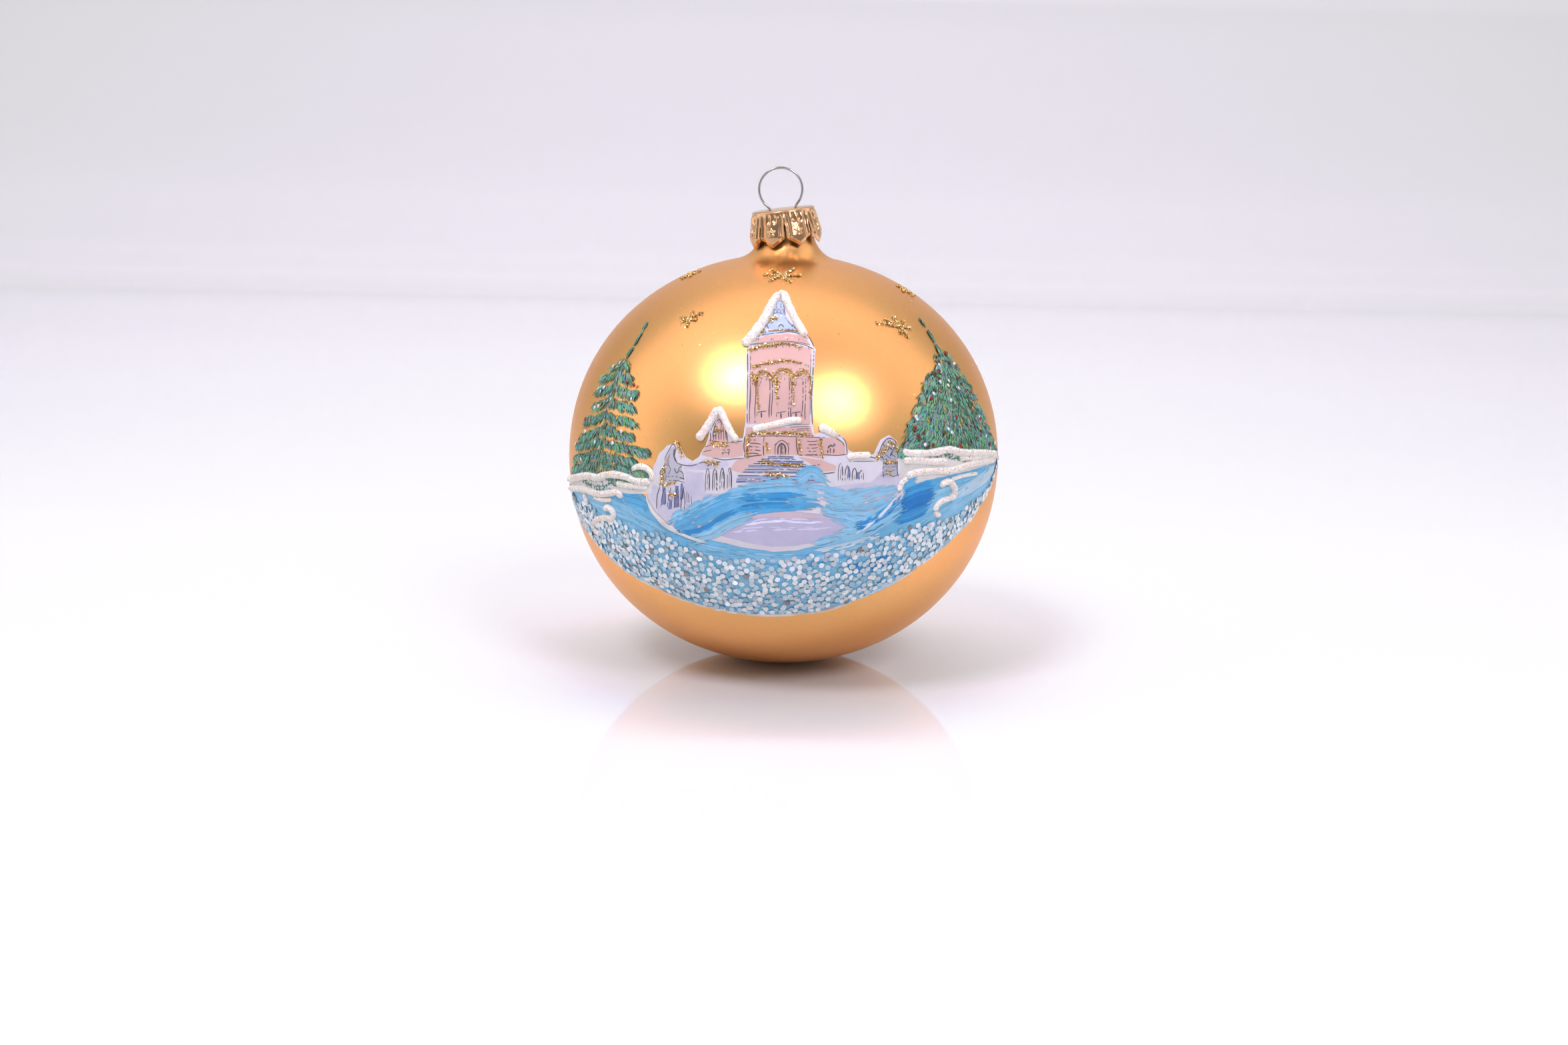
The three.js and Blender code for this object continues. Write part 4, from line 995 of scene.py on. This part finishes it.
def film(name, code, metallic, roughness, **more):
    """Plastic film with a thin coat that gives it a pearly or a foil shine."""
    material, shader = new_material(name, Base_Color=srgb(code), Metallic=metallic, **more)
    scuff = add_node(material.node_tree, "ShaderNodeTexNoise", {"Scale": 1400.0, "Detail": 2.0})
    dull = add_node(
        material.node_tree, "ShaderNodeMapRange", {"To Min": roughness * 0.7, "To Max": roughness * 1.5},
        {"Value": scuff.outputs["Fac"]})
    material.node_tree.links.new(dull.outputs["Result"], shader.inputs["Roughness"])
    return material


SEQUIN, FILM = 0.53, 0.05
SEQUIN_COUNT, SEQUIN_SPACING, SEQUIN_CRUMBS = 940, 0.8, 500
inner_edge = [(-80, 34), (-71, 32.2), (-62, 32.2), (-54, 31), (-42, 31), (-34, 30), (-28, 28.8),
              (-20, 27.2), (-11, 26.6), (0, 26.6), (11, 27.3), (20, 29.1), (26, 30.3), (34, 31.9),
              (40, 31.2), (48, 32.8), (54, 33.4), (60, 34.4), (72, 37.6), (80, 41)]


def edge_height(edge, turn):
    for (t0, h0), (t1, h1) in zip(edge, edge[1:]):
        if t0 <= turn <= t1:
            return h0 + (h1 - h0) * (turn - t0) / (t1 - t0)
    return edge[-1][1]


dice = random.Random(23)
sequins, laid = Skin(), []
while len(laid) < SEQUIN_COUNT:
    turn = dice.uniform(-79, 79)
    low, high = edge_height(outer_edge, turn) + 0.35, edge_height(inner_edge, turn)
    high += 1.3 * noise.noise(Vector((turn * 0.11, 7.3, 0.0)))
    height = low + max(0.5, high - low) * dice.random() ** 1.25
    place = on_ball(turn, height)
    near = sum((place - other).length < SEQUIN_SPACING for other in laid)
    if near > (0 if dice.random() < 0.86 else 1):
        continue
    laid.append(place)
    out = outward(turn, height)
    finish = dice.choices(range(6), weights=[34, 24, 20, 10, 8, 3])[0]
    lift = dice.uniform(0.13, 0.32)
    plate(sequins, place + out * lift, tipped(out, dice, 14), dice.uniform(0, 1), SEQUIN, FILM, finish)
for _ in range(SEQUIN_CRUMBS):
    turn = dice.uniform(-79, 79)
    low, high = edge_height(outer_edge, turn), edge_height(inner_edge, turn)
    height = low + (high - low) * dice.random() ** 1.5
    out = outward(turn, height)
    plate(sequins, on_ball(turn, height, 0.16), tipped(out, dice, 30), 0, dice.uniform(0.09, 0.2), 0.03,
          dice.choices([0, 3, 5], weights=[5, 3, 1])[0])
pool = wide_band([(t, h - 1.2) for t, h in inner_edge], [(t, h + 0.3) for t, h in outer_edge])
drape(sequins, pool, 0.1, 6, spot=wide_spot, grid=1.3, edge_to=0.04)
varnish, shader = new_material("tinted_varnish", Roughness=0.22, Specular_IOR_Level=0.5)
cloudy = add_node(varnish.node_tree, "ShaderNodeTexNoise",
                  {"Scale": 170.0, "Detail": 6.0, "Roughness": 0.6})
spread = add_node(
    varnish.node_tree, "ShaderNodeMapRange", {"From Min": 0.4, "From Max": 0.62},
    {"Value": cloudy.outputs["Fac"]})
blues = add_node(
    varnish.node_tree, "ShaderNodeMix", {"data_type": "RGBA", 6: srgb("#88BFD9"), 7: srgb("#55A0C9")},
    {0: spread.outputs["Result"]})
varnish.node_tree.links.new(blues.outputs[2], shader.inputs["Base Color"])
sequin_piece = sequins.make("hexagon_sequins", [
    film("pearl_film", "#E4E7E6", 0.05, 0.3, Coat_Weight=0.5, Coat_Roughness=0.1),
    film("ice_blue_film", "#B2CAD6", 0.1, 0.3, Coat_Weight=0.5, Coat_Roughness=0.12),
    film("mist_film", "#C2C8CF", 0.2, 0.32, Coat_Weight=0.4, Coat_Roughness=0.12),
    film("silver_foil", "#DADDE2", 1.0, 0.22), film("grey_blue_film", "#98B1C0", 0.2, 0.3),
    film("smoke_foil", "#8B8786", 0.9, 0.3), varnish], smooth=False)
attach(sequin_piece, "ball")
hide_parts("sequin_band")

# ---------------------------------------------------------------------------
# Fir trees: thick green acrylic dabbed on with a small stiff brush, one short
# mark for each twig, with tiny round sequins stuck into it for baubles.
# ---------------------------------------------------------------------------
def dab(skin, turn, height, across, up, half, lift, tint, finish=0):
    """A short tapering brush mark that goes so many millimetres across and up the ball from its start."""
    share = ball_radius(height) / BALL_RADIUS
    end = (turn + math.degrees(across / ball_radius(height)), height + up * share)
    middle = ((turn + end[0]) / 2, (height + end[1]) / 2 + 0.1 * abs(across))
    stripe(skin, trail([(turn, height), middle, end], 0.4), 0.0, half, lift, 0.06, finish, tint,
           taper=0.15)


def bough(skin, root, tip, dice, tints, density, lift, deep):
    """One side of a layer of branches: short marks that hang outwards from the line of the bough."""
    way = 1 if tip[0] > root[0] else -1
    long = abs(math.radians(tip[0] - root[0])) * ball_radius(root[1])
    tip = (tip[0] + dice.uniform(-1.2, 1.2), tip[1] + dice.uniform(-0.5, 0.5))
    for _ in range(round(long * density)):
        share = dice.random() ** 0.85
        turn = root[0] + (tip[0] - root[0]) * share
        sway = 0.5 * noise.noise(Vector((turn * 0.25, root[1], 0.0)))
        height = root[1] + (tip[1] - root[1]) * share + sway - dice.random() * deep * (1 - 0.5 * share)
        tint = [p + (q - p) * dice.random() for p, q in zip(*tints)]
        dab(skin, turn, height, way * dice.uniform(0.1, 1.0) * (0.4 + share), -dice.uniform(0.3, 1.25),
            dice.uniform(0.06, 0.13), lift + 0.14 * dice.random(), tint)


PINE, FIR, MINT, NIGHT = "#457E68", "#649C84", "#A2CBB7", "#2A5D4F"
dice = random.Random(31)


def fir_tree(name, node, leader, boughs, trunk, deep, baubles, bauble_films):
    tree_paint = Skin()
    for _ in range(120):
        height = dice.uniform(boughs[-1][0], boughs[0][0])
        dab(tree_paint, trunk(height) + dice.uniform(-0.8, 0.8), height, dice.uniform(-0.5, 0.5),
            -dice.uniform(0.5, 1.2), 0.12, 0.1 + 0.2 * dice.random(),
            srgb(dice.choice((NIGHT, PINE, FIR, MINT))))
    for k in range(len(leader) - 1):
        (t0, h0), (t1, h1) = leader[k], leader[k + 1]
        for _ in range(9 + 3 * k):
            a = dice.random()
            spots = [(t0 + (t1 - t0) * s + dice.uniform(-0.4, 0.4), h0 + (h1 - h0) * s) for s in (a * 0.6,
                    a * 0.6 + 0.5)]
            tint = srgb(dice.choice([PINE, NIGHT, FIR, PINE]))
            stripe(tree_paint, trail(spots, 0.3), dice.uniform(-0.16, 0.16), 0.17,
                   0.08 + 0.14 * dice.random(), 0.08, 0, tint)
    for tints, density, lift in (((NIGHT, PINE), 9, 0.06), ((PINE, FIR), 10, 0.14),
                                 ((PINE, MINT), 9, 0.24)):
        for root_height, left, right in boughs:
            for tip in (left, right):
                bough(tree_paint, (trunk(root_height), root_height), tip, dice, [srgb(c) for c in tints],
                      density, lift, deep)
    for turn, height, finish in baubles:
        out = outward(turn, height)
        plate(tree_paint, on_ball(turn, height, 0.46), tipped(out, dice, 18), dice.random(), 0.36, 0.05,
              finish, 10)
    piece = tree_paint.make(name, [acrylic("fir_green_acrylic", 0.5, 500.0), *bauble_films])
    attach(piece, "ball")
    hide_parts(node)


def scattered_baubles(count, trunk, boughs, weights):
    """Baubles at random over a tree, each with the number of its film."""
    baubles = []
    for _ in range(count):
        root_height, left, right = dice.choice(boughs)
        tip = dice.choice((left, right))
        share = dice.random() ** 0.7
        turn = trunk(root_height) + (tip[0] - trunk(root_height)) * share
        height = root_height + (tip[1] - root_height) * share - dice.uniform(0, 1.4)
        baubles.append((turn, height, dice.choices((1, 2, 3, 4), weights=weights)[0]))
    return baubles


def left_trunk(height):
    return -55.4 + (58 - height) * 0.12


def right_trunk(height):
    return 56 - (60 - height) * 0.3


bauble_films = [film("white_bauble_film", "#DDE2E4", 0.1, 0.3),
                film("gold_bauble_foil", "#C9A25E", 1.0, 0.25),
                film("red_bauble_foil", "#A8322E", 0.6, 0.3),
                film("bronze_bauble_foil", "#6F4534", 0.7, 0.3)]
left_boughs = [
    (58.8, (-59.6, 57.2), (-52.4, 57.6)), (57, (-62.2, 55), (-48.6, 55.6)),
    (54.6, (-63, 52.8), (-44.8, 53.4)), (52.2, (-61.6, 50.4), (-44.6, 51.4)),
    (49.8, (-65.4, 47.4), (-42, 48.8)), (47.4, (-66.2, 45), (-42.8, 46.6)),
    (45.2, (-69.4, 42.4), (-37.6, 44.6)), (43.2, (-70.6, 40), (-40, 42.2)),
    (41.4, (-72.6, 38), (-36.6, 41)), (39.8, (-71, 37), (-41, 39.4))]
right_boughs = [
    (61.4, (53.8, 60), (59.6, 60)), (60, (50.6, 58.6), (61.4, 58.2)), (58.6, (46, 57.2), (62.4, 56.4)),
    (57.2, (43.6, 55.8), (63.6, 54.8)), (55.6, (40.6, 54.4), (64.8, 52.8)),
    (54, (38.2, 52.8), (66.2, 51)), (52.4, (36, 51.2), (68, 49)), (50.8, (34.6, 49.8), (69.6, 47.2)),
    (49.2, (33, 48.2), (71.4, 45.4)), (47.6, (31.8, 46.8), (73.4, 44.2)),
    (46.2, (31.4, 45.8), (75, 43.2))]
fir_tree("left_fir_tree", "left_tree", [(-57.8, 64.9), (-56, 63.2), (-55.2, 60.8), (-55.2, 58.6)],
         left_boughs, left_trunk, 1.45, [(-45.6, 54.6, 3),
                                         *scattered_baubles(30, left_trunk, left_boughs, (9, 7, 1, 1))],
                                         bauble_films)
fir_tree("right_fir_tree", "right_tree", [(59.6, 66.3), (58.2, 64.4), (56.9, 62), (56.2, 60)],
         right_boughs, right_trunk, 1.8, scattered_baubles(72, right_trunk, right_boughs, (9, 6, 5, 6)),
         bauble_films)

# ---------------------------------------------------------------------------
# Snow: white relief paste mixed with fine sugar glass, piped in thick lines on
# the roofs and the two banks, where it stands up to a millimetre proud.
# ---------------------------------------------------------------------------
def pipe_paste(skin, spots, half, tall, base, finish=0, swell=0.0, grain=0.13, fray=0.16):
    """A rounded line of paste with lumps, round ends and a rough grainy surface."""
    steps = trail(spots, grain)
    length, columns = (len(steps) - 1) * grain, max(7, round(2.6 * half / grain))
    points = []
    for i, (place, side, out) in enumerate(steps):
        run = min(i, len(steps) - 1 - i) * grain
        cap_in = math.sqrt(max(0.0, 1 - max(0.0, 1 - run / half) ** 2))
        wide = half * (1 + swell * (0.5 - i / len(steps))) * (1 + 0.16 * noise.noise(place * 0.55))
        for k in range(columns + 1):
            across = 2 * k / columns - 1
            rise = math.sqrt(max(0.0, 1 - across * across)) * cap_in
            spot = place + side * (across * wide * max(0.12, cap_in))
            lump = (1 + 0.2 * noise.noise(spot * 1.1) + fray * noise.noise(spot * 4.1)
                    + fray * noise.noise(spot * 9.7))
            points.append(settle(spot, base + tall * rise * lump))
    row = columns + 1
    faces = [(i * row + k, i * row + k + 1, (i + 1) * row + k + 1, (i + 1) * row + k)
             for i in range(len(steps) - 1) for k in range(columns)]
    skin.add(points, faces, finish)


SUGAR_GRAINS = 1700
dice = random.Random(47)
snow = Skin()
roof_base = PAPER + 0.02
piped = [
    ([(-7.2, 62.5), (-6.3, 63.4), (-4.6, 65.4), (-3.4, 67.3), (-2.4, 69.2), (-1.2, 70.6)], 0.8, 0.85,
     roof_base, 0.4),
    ([(-1.5, 70.5), (-0.4, 70.4), (0.5, 68.8), (1.8, 66.6), (3.4, 64.2)], 0.72, 0.8, roof_base, 0.1),
    ([(-14.6, 47), (-13.3, 48.8), (-12, 51), (-11.1, 52.5)], 0.72, 0.8, roof_base, 0.2),
    ([(-11.3, 52.6), (-10.3, 51.2), (-9.1, 48.9), (-7.8, 47.2)], 0.62, 0.72, roof_base, 0.0),
    ([(-5.3, 49.1), (-3.9, 49.6), (-2.2, 50), (0.2, 50.6), (1.4, 50.9), (3.0, 50.9)], 0.6, 0.6, roof_base,
     0.1),
    ([(5.9, 49.9), (7.2, 49.4), (8.9, 48.4)], 0.68, 0.65, roof_base, 0.5),
    ([(10.7, 44.8), (12, 45), (13.5, 45), (14.8, 45)], 0.55, 0.5, roof_base, 0.0)]
for spots, half, tall, base, swell in piped:
    pipe_paste(snow, [front(*p) for p in spots], half, tall, base, swell=swell)
banks = [
    ([(-78, 34.8), (-66.2, 36.7), (-59.7, 37.6), (-54.6, 37.9), (-51, 38.7), (-46.7, 39.2), (-42.8, 39.2),
      (-39, 38.8), (-34.8, 39)], 0.72, 0.7),
    ([(-46.6, 37.7), (-42.8, 37.7), (-39.4, 37.9), (-35.6, 38)], 0.6, 0.45),
    ([(-41, 40.6), (-39, 41.3), (-36.4, 41.3), (-34.4, 40.4), (-34.6, 39.2)], 0.55, 0.5),
    ([(-79, 33), (-68.7, 34.2), (-63.2, 34.7), (-54.9, 34.9), (-49.6, 35.6), (-46.4, 36.1),
      (-44.4, 35.4)], 0.62, 0.65),
    ([(-63.4, 34), (-62.6, 33), (-61.4, 32.2)], 0.5, 0.5),
    ([(-57.4, 34.1), (-53, 34), (-48.8, 34.5)], 0.42, 0.4),
    ([(-52.6, 32.4), (-50.6, 32.9), (-48.6, 32.3), (-49.6, 31), (-53.9, 30.7)], 0.6, 0.65),
    ([(-53, 30.9), (-57.9, 29.8), (-60.6, 28.4), (-59.6, 27.4), (-57.2, 27.2)], 0.5, 0.55),
    ([(31, 45.4), (32.6, 44.9), (36.2, 44.6), (41.7, 44.5), (46.6, 44.6), (51.2, 43.8), (59.1, 43),
      (67, 42.2), (75, 41.2)], 0.72, 0.6),
    ([(31, 43.7), (35.5, 43.5), (40, 43), (45.4, 42.7)], 0.68, 0.6),
    ([(50.6, 42.7), (58, 42.2), (68, 41.6)], 0.5, 0.45),
    ([(32, 41), (35.9, 41.4), (41.3, 41.3), (47.4, 40.9), (52.6, 41.2), (58.9, 41.2), (71.8, 40.6)], 0.68,
     0.6),
    ([(29.8, 38.4), (30.6, 39.8), (32.4, 40.6)], 0.5, 0.45),
    ([(47.2, 39.3), (52.6, 39.5), (59.3, 39.3)], 0.36, 0.35),
    ([(43, 38.6), (46.1, 39.1), (48.4, 37.8), (48.5, 36.5), (46.5, 35.9)], 0.62, 0.7),
    ([(46.8, 36), (43.7, 35.7), (42.1, 34.9), (41.8, 34)], 0.55, 0.6),
    ([(41.6, 34.1), (42.8, 33.3), (43.8, 33.6)], 0.48, 0.5)]
for spots, half, tall in banks:
    pipe_paste(snow, spots, half, tall, 0.06, fray=0.22)
paste_count = len(snow.points)
ground_white = [
    ([(-78, 34.6), (-66, 36.8), (-54, 38.2), (-46, 39.6), (-40, 41.2), (-34.2, 41), (-34.2, 38)],
     [(-78, 33.2), (-66, 34.6), (-58, 35.4), (-50, 36.4), (-44, 36.2), (-38, 36.6), (-34.2, 37)]),
    ([(30.4, 45.8), (41, 44.9), (51, 44), (64, 42.8), (79, 41)],
     [(30.4, 39), (40, 40), (51, 40.2), (64, 40.2), (79, 39.6)])]
for upper, lower in ground_white:
    drape(snow, wide_band(upper, lower), 0.13, 3, spot=wide_spot, grid=1.0, edge_to=0.0,
          tint=srgb("#DAD4D1"))
for turn, height in ((-63, 36.2), (-60, 36.1), (-57, 36.1), (-54, 36.3), (-51, 36.7), (-49, 37.5),
                     (47, 43.7), (49, 43), (51.4, 42.8), (54, 42.2)):
    for _ in range(16):
        dab(snow, turn + dice.uniform(-1.6, 1.6), height + dice.uniform(-0.35, 0.45),
            dice.uniform(-0.6, 0.6), dice.uniform(-0.5, 0.2), 0.12, 0.16,
            srgb(dice.choice((NIGHT, PINE, FIR))), finish=3)


def sugar_paste():
    """Matt white paste with glass sugar in it: a coarse sparkling grain, and slightly cream in random
    patches.
    """
    material, shader = new_material(
        "sugar_snow_paste", Roughness=0.6, Subsurface_Weight=0.25, Subsurface_Scale=0.0006)
    tree = material.node_tree
    place = add_node(tree, "ShaderNodeTexCoord")
    cells = add_node(
        tree, "ShaderNodeTexVoronoi", {"Scale": 5200.0}, {"Vector": place.outputs["Object"]})
    cloud = add_node(
        tree, "ShaderNodeTexNoise", {"Scale": 1100.0, "Detail": 4.0}, {"Vector": place.outputs["Object"]})
    colour = add_node(
        tree, "ShaderNodeMix", {"data_type": "RGBA", 6: srgb("#ECE0D6"), 7: srgb("#FDF6EF")},
        {0: cloud.outputs["Fac"]})
    rough = add_node(
        tree, "ShaderNodeMapRange", {"From Min": 0.2, "From Max": 0.6, "To Min": 0.25, "To Max": 0.7},
        {"Value": cells.outputs["Distance"]})
    bump = add_node(
        tree, "ShaderNodeBump", {"Strength": 0.8, "Distance": 0.00012},
        {"Height": cells.outputs["Distance"]})
    tree.links.new(colour.outputs[2], shader.inputs["Base Color"])
    tree.links.new(rough.outputs["Result"], shader.inputs["Roughness"])
    tree.links.new(bump.outputs["Normal"], shader.inputs["Normal"])
    return material


paste_points = snow.points[:paste_count]
for _ in range(SUGAR_GRAINS):
    point = dice.choice(paste_points)
    plate(snow, point * 1.0008, tipped(point.normalized(), dice, 60), 0, dice.uniform(0.05, 0.1), 0.02,
          dice.choice((1, 1, 2)))
snow_piece = snow.make("snow_paste", [
    sugar_paste(), film("glass_sugar", "#FFFFFF", 0.3, 0.12),
    film("gold_sugar_fleck", "#E3BE7C", 1.0, 0.2), acrylic("bank_acrylic", 0.5)])
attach(snow_piece, "ball")
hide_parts("tower_roof_snow", "gable_snow", "ledge_snow", "side_house_snow", "wall_snow",
            "left_bank_snow_upper", "left_bank_snow_lower", "left_snow_drip", "right_bank_snow_upper",
            "right_bank_snow_lower", "right_snow_drip", "right_snow_arm")

# ---------------------------------------------------------------------------
# Gold glitter: 0.2 mm flakes of foil on lines of clear glue, along the cornices
# and arches, with stray flakes round them and all over the gold.
# ---------------------------------------------------------------------------
dice = random.Random(59)
FLAKE = 0.12


def gold_foils_with_painted_light():
    """Copies of one gold foil with painted light in their colours: pale is a painted glint, yellow and old
    gold are mid tones, and brown is painted shade. Each flake also lies its own way, so that some flash.
    """
    return [film("gold_foil_painted_glint", "#FFE7B4", 1.0, 0.25), film("yellow_gold_foil", "#EBBE68", 1.0, 0.25),
            film("old_gold_foil", "#C48F44", 1.0, 0.28), film("gold_foil_painted_shade", "#8F6430", 1.0, 0.35)]


def glitter_line(skin, spots, half, density, base, glue_tall=0.16, fall=0.0):
    """Flakes heaped on a low bead of glue, thinning out at its sides."""
    steps = trail(spots, 0.2)
    pipe_paste(skin, spots, half * 0.42, glue_tall * 0.7, base, finish=4, grain=0.2, fray=0.3)
    for place, side, out in steps:
        for _ in range(round(density * 0.32 * half + dice.random() - 0.5)):
            aside = dice.gauss(0, 0.6) * half
            drop = -abs(dice.gauss(0, fall)) if fall else 0
            spot = settle(place + side * aside + Vector((0, 0, drop)),
                          base + glue_tall * max(0.1, 1 - abs(aside) / half) + dice.uniform(0.0, 0.1))
            # Each flake takes one of the gold copies at random, from the painted glint to the painted shade.
            plate(skin, spot, tipped(out, dice, 50), dice.random(), FLAKE * dice.uniform(0.6, 1.3), 0.02,
                  dice.choices(range(4), weights=(8, 6, 3, 1))[0])


house_glitter = Skin()
lines = [
    ([(-6.1, 61.8), (-4.7, 62.4), (-3.1, 62.6), (-1.6, 62.8)], 0.42, 34, 0.0),
    ([(-1.6, 62.9), (0.4, 63), (2.6, 62.5)], 0.3, 26, 0.0),
    ([(-5.2, 64.2), (-4.4, 64.6), (-3.6, 64.9)], 0.45, 30, 0.0),
    ([(-3, 64.9), (-1, 65.1), (1, 65.1), (2.1, 64.9)], 0.2, 12, 0.0),
    ([(-2.9, 66.4), (-2.2, 67), (-1.5, 66.8)], 0.42, 34, 0.0),
    ([(-5.5, 59.3), (-4.2, 59.7), (-2.4, 60.1), (0, 60.4), (1, 60.4), (2.8, 60)], 0.32, 26, 0.12),
    ([(-5.7, 58.2), (-4.9, 57.8), (-3.8, 58.6), (-2.8, 58.4), (-2.1, 57.6)], 0.4, 28, 0.35),
    ([(-1.8, 57.7), (-1.2, 58.8), (0, 59.1), (1.1, 58.7), (1.3, 57.6)], 0.4, 28, 0.35),
    ([(1.8, 57.9), (2.6, 58.7), (3.6, 58.8), (4.2, 57.9)], 0.4, 28, 0.3),
    ([(-5.0, 57.8), (-4.9, 57.0)], 0.55, 40, 0.3), ([(-1.6, 57.8), (-1.5, 56.9)], 0.6, 42, 0.4),
    ([(1.3, 57.6), (1.5, 56.6)], 0.35, 26, 0.5), ([(-4.7, 57), (-4.5, 54.6), (-4.3, 52.4)], 0.3, 9, 0.4),
    ([(-1.4, 57), (-1.3, 55), (-1.1, 54.2)], 0.36, 18, 0.5),
    ([(1.4, 57), (1.5, 55.4), (1.6, 53.4)], 0.25, 11, 0.5),
    ([(4.4, 58), (4.4, 56), (4.5, 54.6)], 0.2, 10, 0.4),
    ([(-6.2, 47.7), (-5.6, 48.5), (-4.4, 48.7), (-2.2, 48.8), (0.4, 48.9), (2.6, 48.8), (4.4, 48.7)], 0.3,
     24, 0.1),
    ([(-6, 48.2), (-6.1, 47), (-6.1, 46), (-6, 44.6)], 0.34, 24, 0.0),
    ([(-3.0, 47.3), (-2.8, 46.3), (-2.6, 45.6)], 0.28, 22, 0.0),
    ([(2.6, 47.9), (2.7, 46.6), (2.8, 45.5)], 0.26, 24, 0.0),
    ([(6.2, 47.8), (6.4, 46.4), (6.6, 45.0)], 0.3, 24, 0.0),
    ([(-4, 43.8), (-2.6, 43.9), (0.2, 43.6), (3.2, 43.5)], 0.3, 20, 0.1),
    ([(-2.9, 42.0), (-1, 41.9), (0.8, 41.5)], 0.32, 30, 0.0),
    ([(-12.3, 46.6), (-11, 46.5), (-9.4, 46.6)], 0.42, 38, 0.0),
    ([(-11.8, 48.9), (-11.1, 48.6), (-10.5, 48.9)], 0.34, 30, 0.0),
    ([(-13.2, 43.6), (-12.4, 43.6), (-10.9, 43.3)], 0.34, 24, 0.2),
    ([(-20.4, 41.8), (-20.6, 40.3), (-20.8, 39.2)], 0.36, 34, 0.0),
    ([(-18.4, 46.6), (-17.7, 45.4), (-17.1, 44)], 0.3, 26, 0.1),
    ([(-20.8, 38.7), (-19.4, 39.2), (-18.3, 39.4)], 0.28, 20, 0.0),
    ([(-19.6, 37.5), (-18.9, 37.3), (-18.0, 37.4)], 0.3, 24, 0.0),
    ([(-19.9, 43.6), (-19.7, 42.8), (-20, 42)], 0.18, 14, 0.0),
    ([(15.7, 44.5), (16.6, 45.2), (17.4, 46.2), (18.4, 46.8), (19.2, 46.2), (19.5, 45)], 0.34, 28, 0.2),
    ([(17.3, 43.7), (18.4, 43.6), (19.3, 43.7)], 0.3, 28, 0.0),
    ([(17.6, 42), (18.5, 41.8)], 0.26, 24, 0.0)]
for spots, half, density, fall in lines:
    glitter_line(house_glitter, [front(*p) for p in spots], half, density, PAPER + 0.03, fall=fall)
glue, shader = new_material("gold_tinted_glue", Roughness=0.3, Metallic=0.3)
speck = add_node(glue.node_tree, "ShaderNodeTexNoise", {"Scale": 3000.0})
tone = add_node(
    glue.node_tree, "ShaderNodeMix", {"data_type": "RGBA", 6: srgb("#8A6030"), 7: srgb("#C79A55")},
    {0: speck.outputs["Fac"]})
glue.node_tree.links.new(tone.outputs[2], shader.inputs["Base Color"])
foils = gold_foils_with_painted_light()
house_piece = house_glitter.make("house_glitter", [*foils, glue], smooth=False)
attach(house_piece, "ball")
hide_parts("cornice_glitter", "arcade_glitter", "arch_glitter_left", "arch_glitter_middle",
            "arch_glitter_right", "ledge_glitter", "upper_step_glitter", "lower_step_glitter",
            "gable_glitter", "fountain_glitter", "pavilion_glitter")

# ---------------------------------------------------------------------------
# Stars: six short strokes of the same glitter glue each, drawn by hand on the
# upper part of the ball all the way round.
# ---------------------------------------------------------------------------
STRAY_FLAKES = 520
star_glitter = Skin()
star_arms = {
    1: ((-3.6, 73.3), [(172, 3.2), (130, 3.0), (52, 3.8), (6, 3.6), (-50, 3.2), (-138, 2.8)]),
    2: ((-37.8, 66.1), [(176, 2.1), (100, 1.8), (42, 2.6), (2, 1.7), (-72, 2.0), (-142, 1.6)]),
    3: ((44.6, 65.3), [(166, 4.9), (146, 3.0), (84, 2.3), (30, 2.2), (-18, 2.4), (-82, 2.8),
                       (-120, 2.0)]),
    4: ((-78, 72.2), [(170, 2.4), (120, 1.9), (52, 2.3), (-6, 2.4), (-60, 2.0), (-128, 2.1)]),
    5: ((79, 70.1), [(176, 2.6), (118, 2.1), (60, 2.2), (8, 2.2), (-54, 2.2), (-122, 2.0)])}
for number, (turn, height) in {6: (118, 62), 7: (160, 68), 8: (-150, 60), 9: (-112, 66)}.items():
    star_arms[number] = ((turn, height), [(a + dice.uniform(-12, 12),
                                           dice.uniform(1.9, 2.6)) for a in range(0, 360, 60)])
for (turn, height), arms in star_arms.values():
    middle, out = on_ball(turn, height), outward(turn, height)
    right = Vector((0, 0, 1)).cross(out).normalized()
    up = out.cross(right)
    for angle, reach in arms:
        way = right * math.cos(math.radians(angle)) + up * math.sin(math.radians(angle))
        ends = []
        for share in (0.0, 0.5, 1.0):
            point = middle + way * reach * share + way.cross(out) * dice.uniform(-0.12, 0.12)
            ends.append((math.degrees(math.atan2(point.x, -point.y)), point.z))
        glitter_line(star_glitter, ends, 0.42, 44, 0.02)
for _ in range(STRAY_FLAKES):
    turn, height = dice.uniform(-180, 180), 38 + 36 * dice.random() ** 0.8
    if abs(turn) < 30 and height < 56:
        turn += 30 * (1 if turn > 0 else -1)
    # Stray flakes take the pale painted-glint gold, the yellow gold and the old gold.
    plate(star_glitter, on_ball(turn, height, 0.02), tipped(outward(turn, height), dice, 40), 0,
          dice.uniform(0.04, 0.1), 0.02, dice.choices((0, 1, 2), weights=(6, 3, 1))[0])
star_piece = star_glitter.make("glitter_stars", [*foils, glue], smooth=False)
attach(star_piece, "ball")
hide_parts(*[f"star_{k}" for k in range(1, 10)])
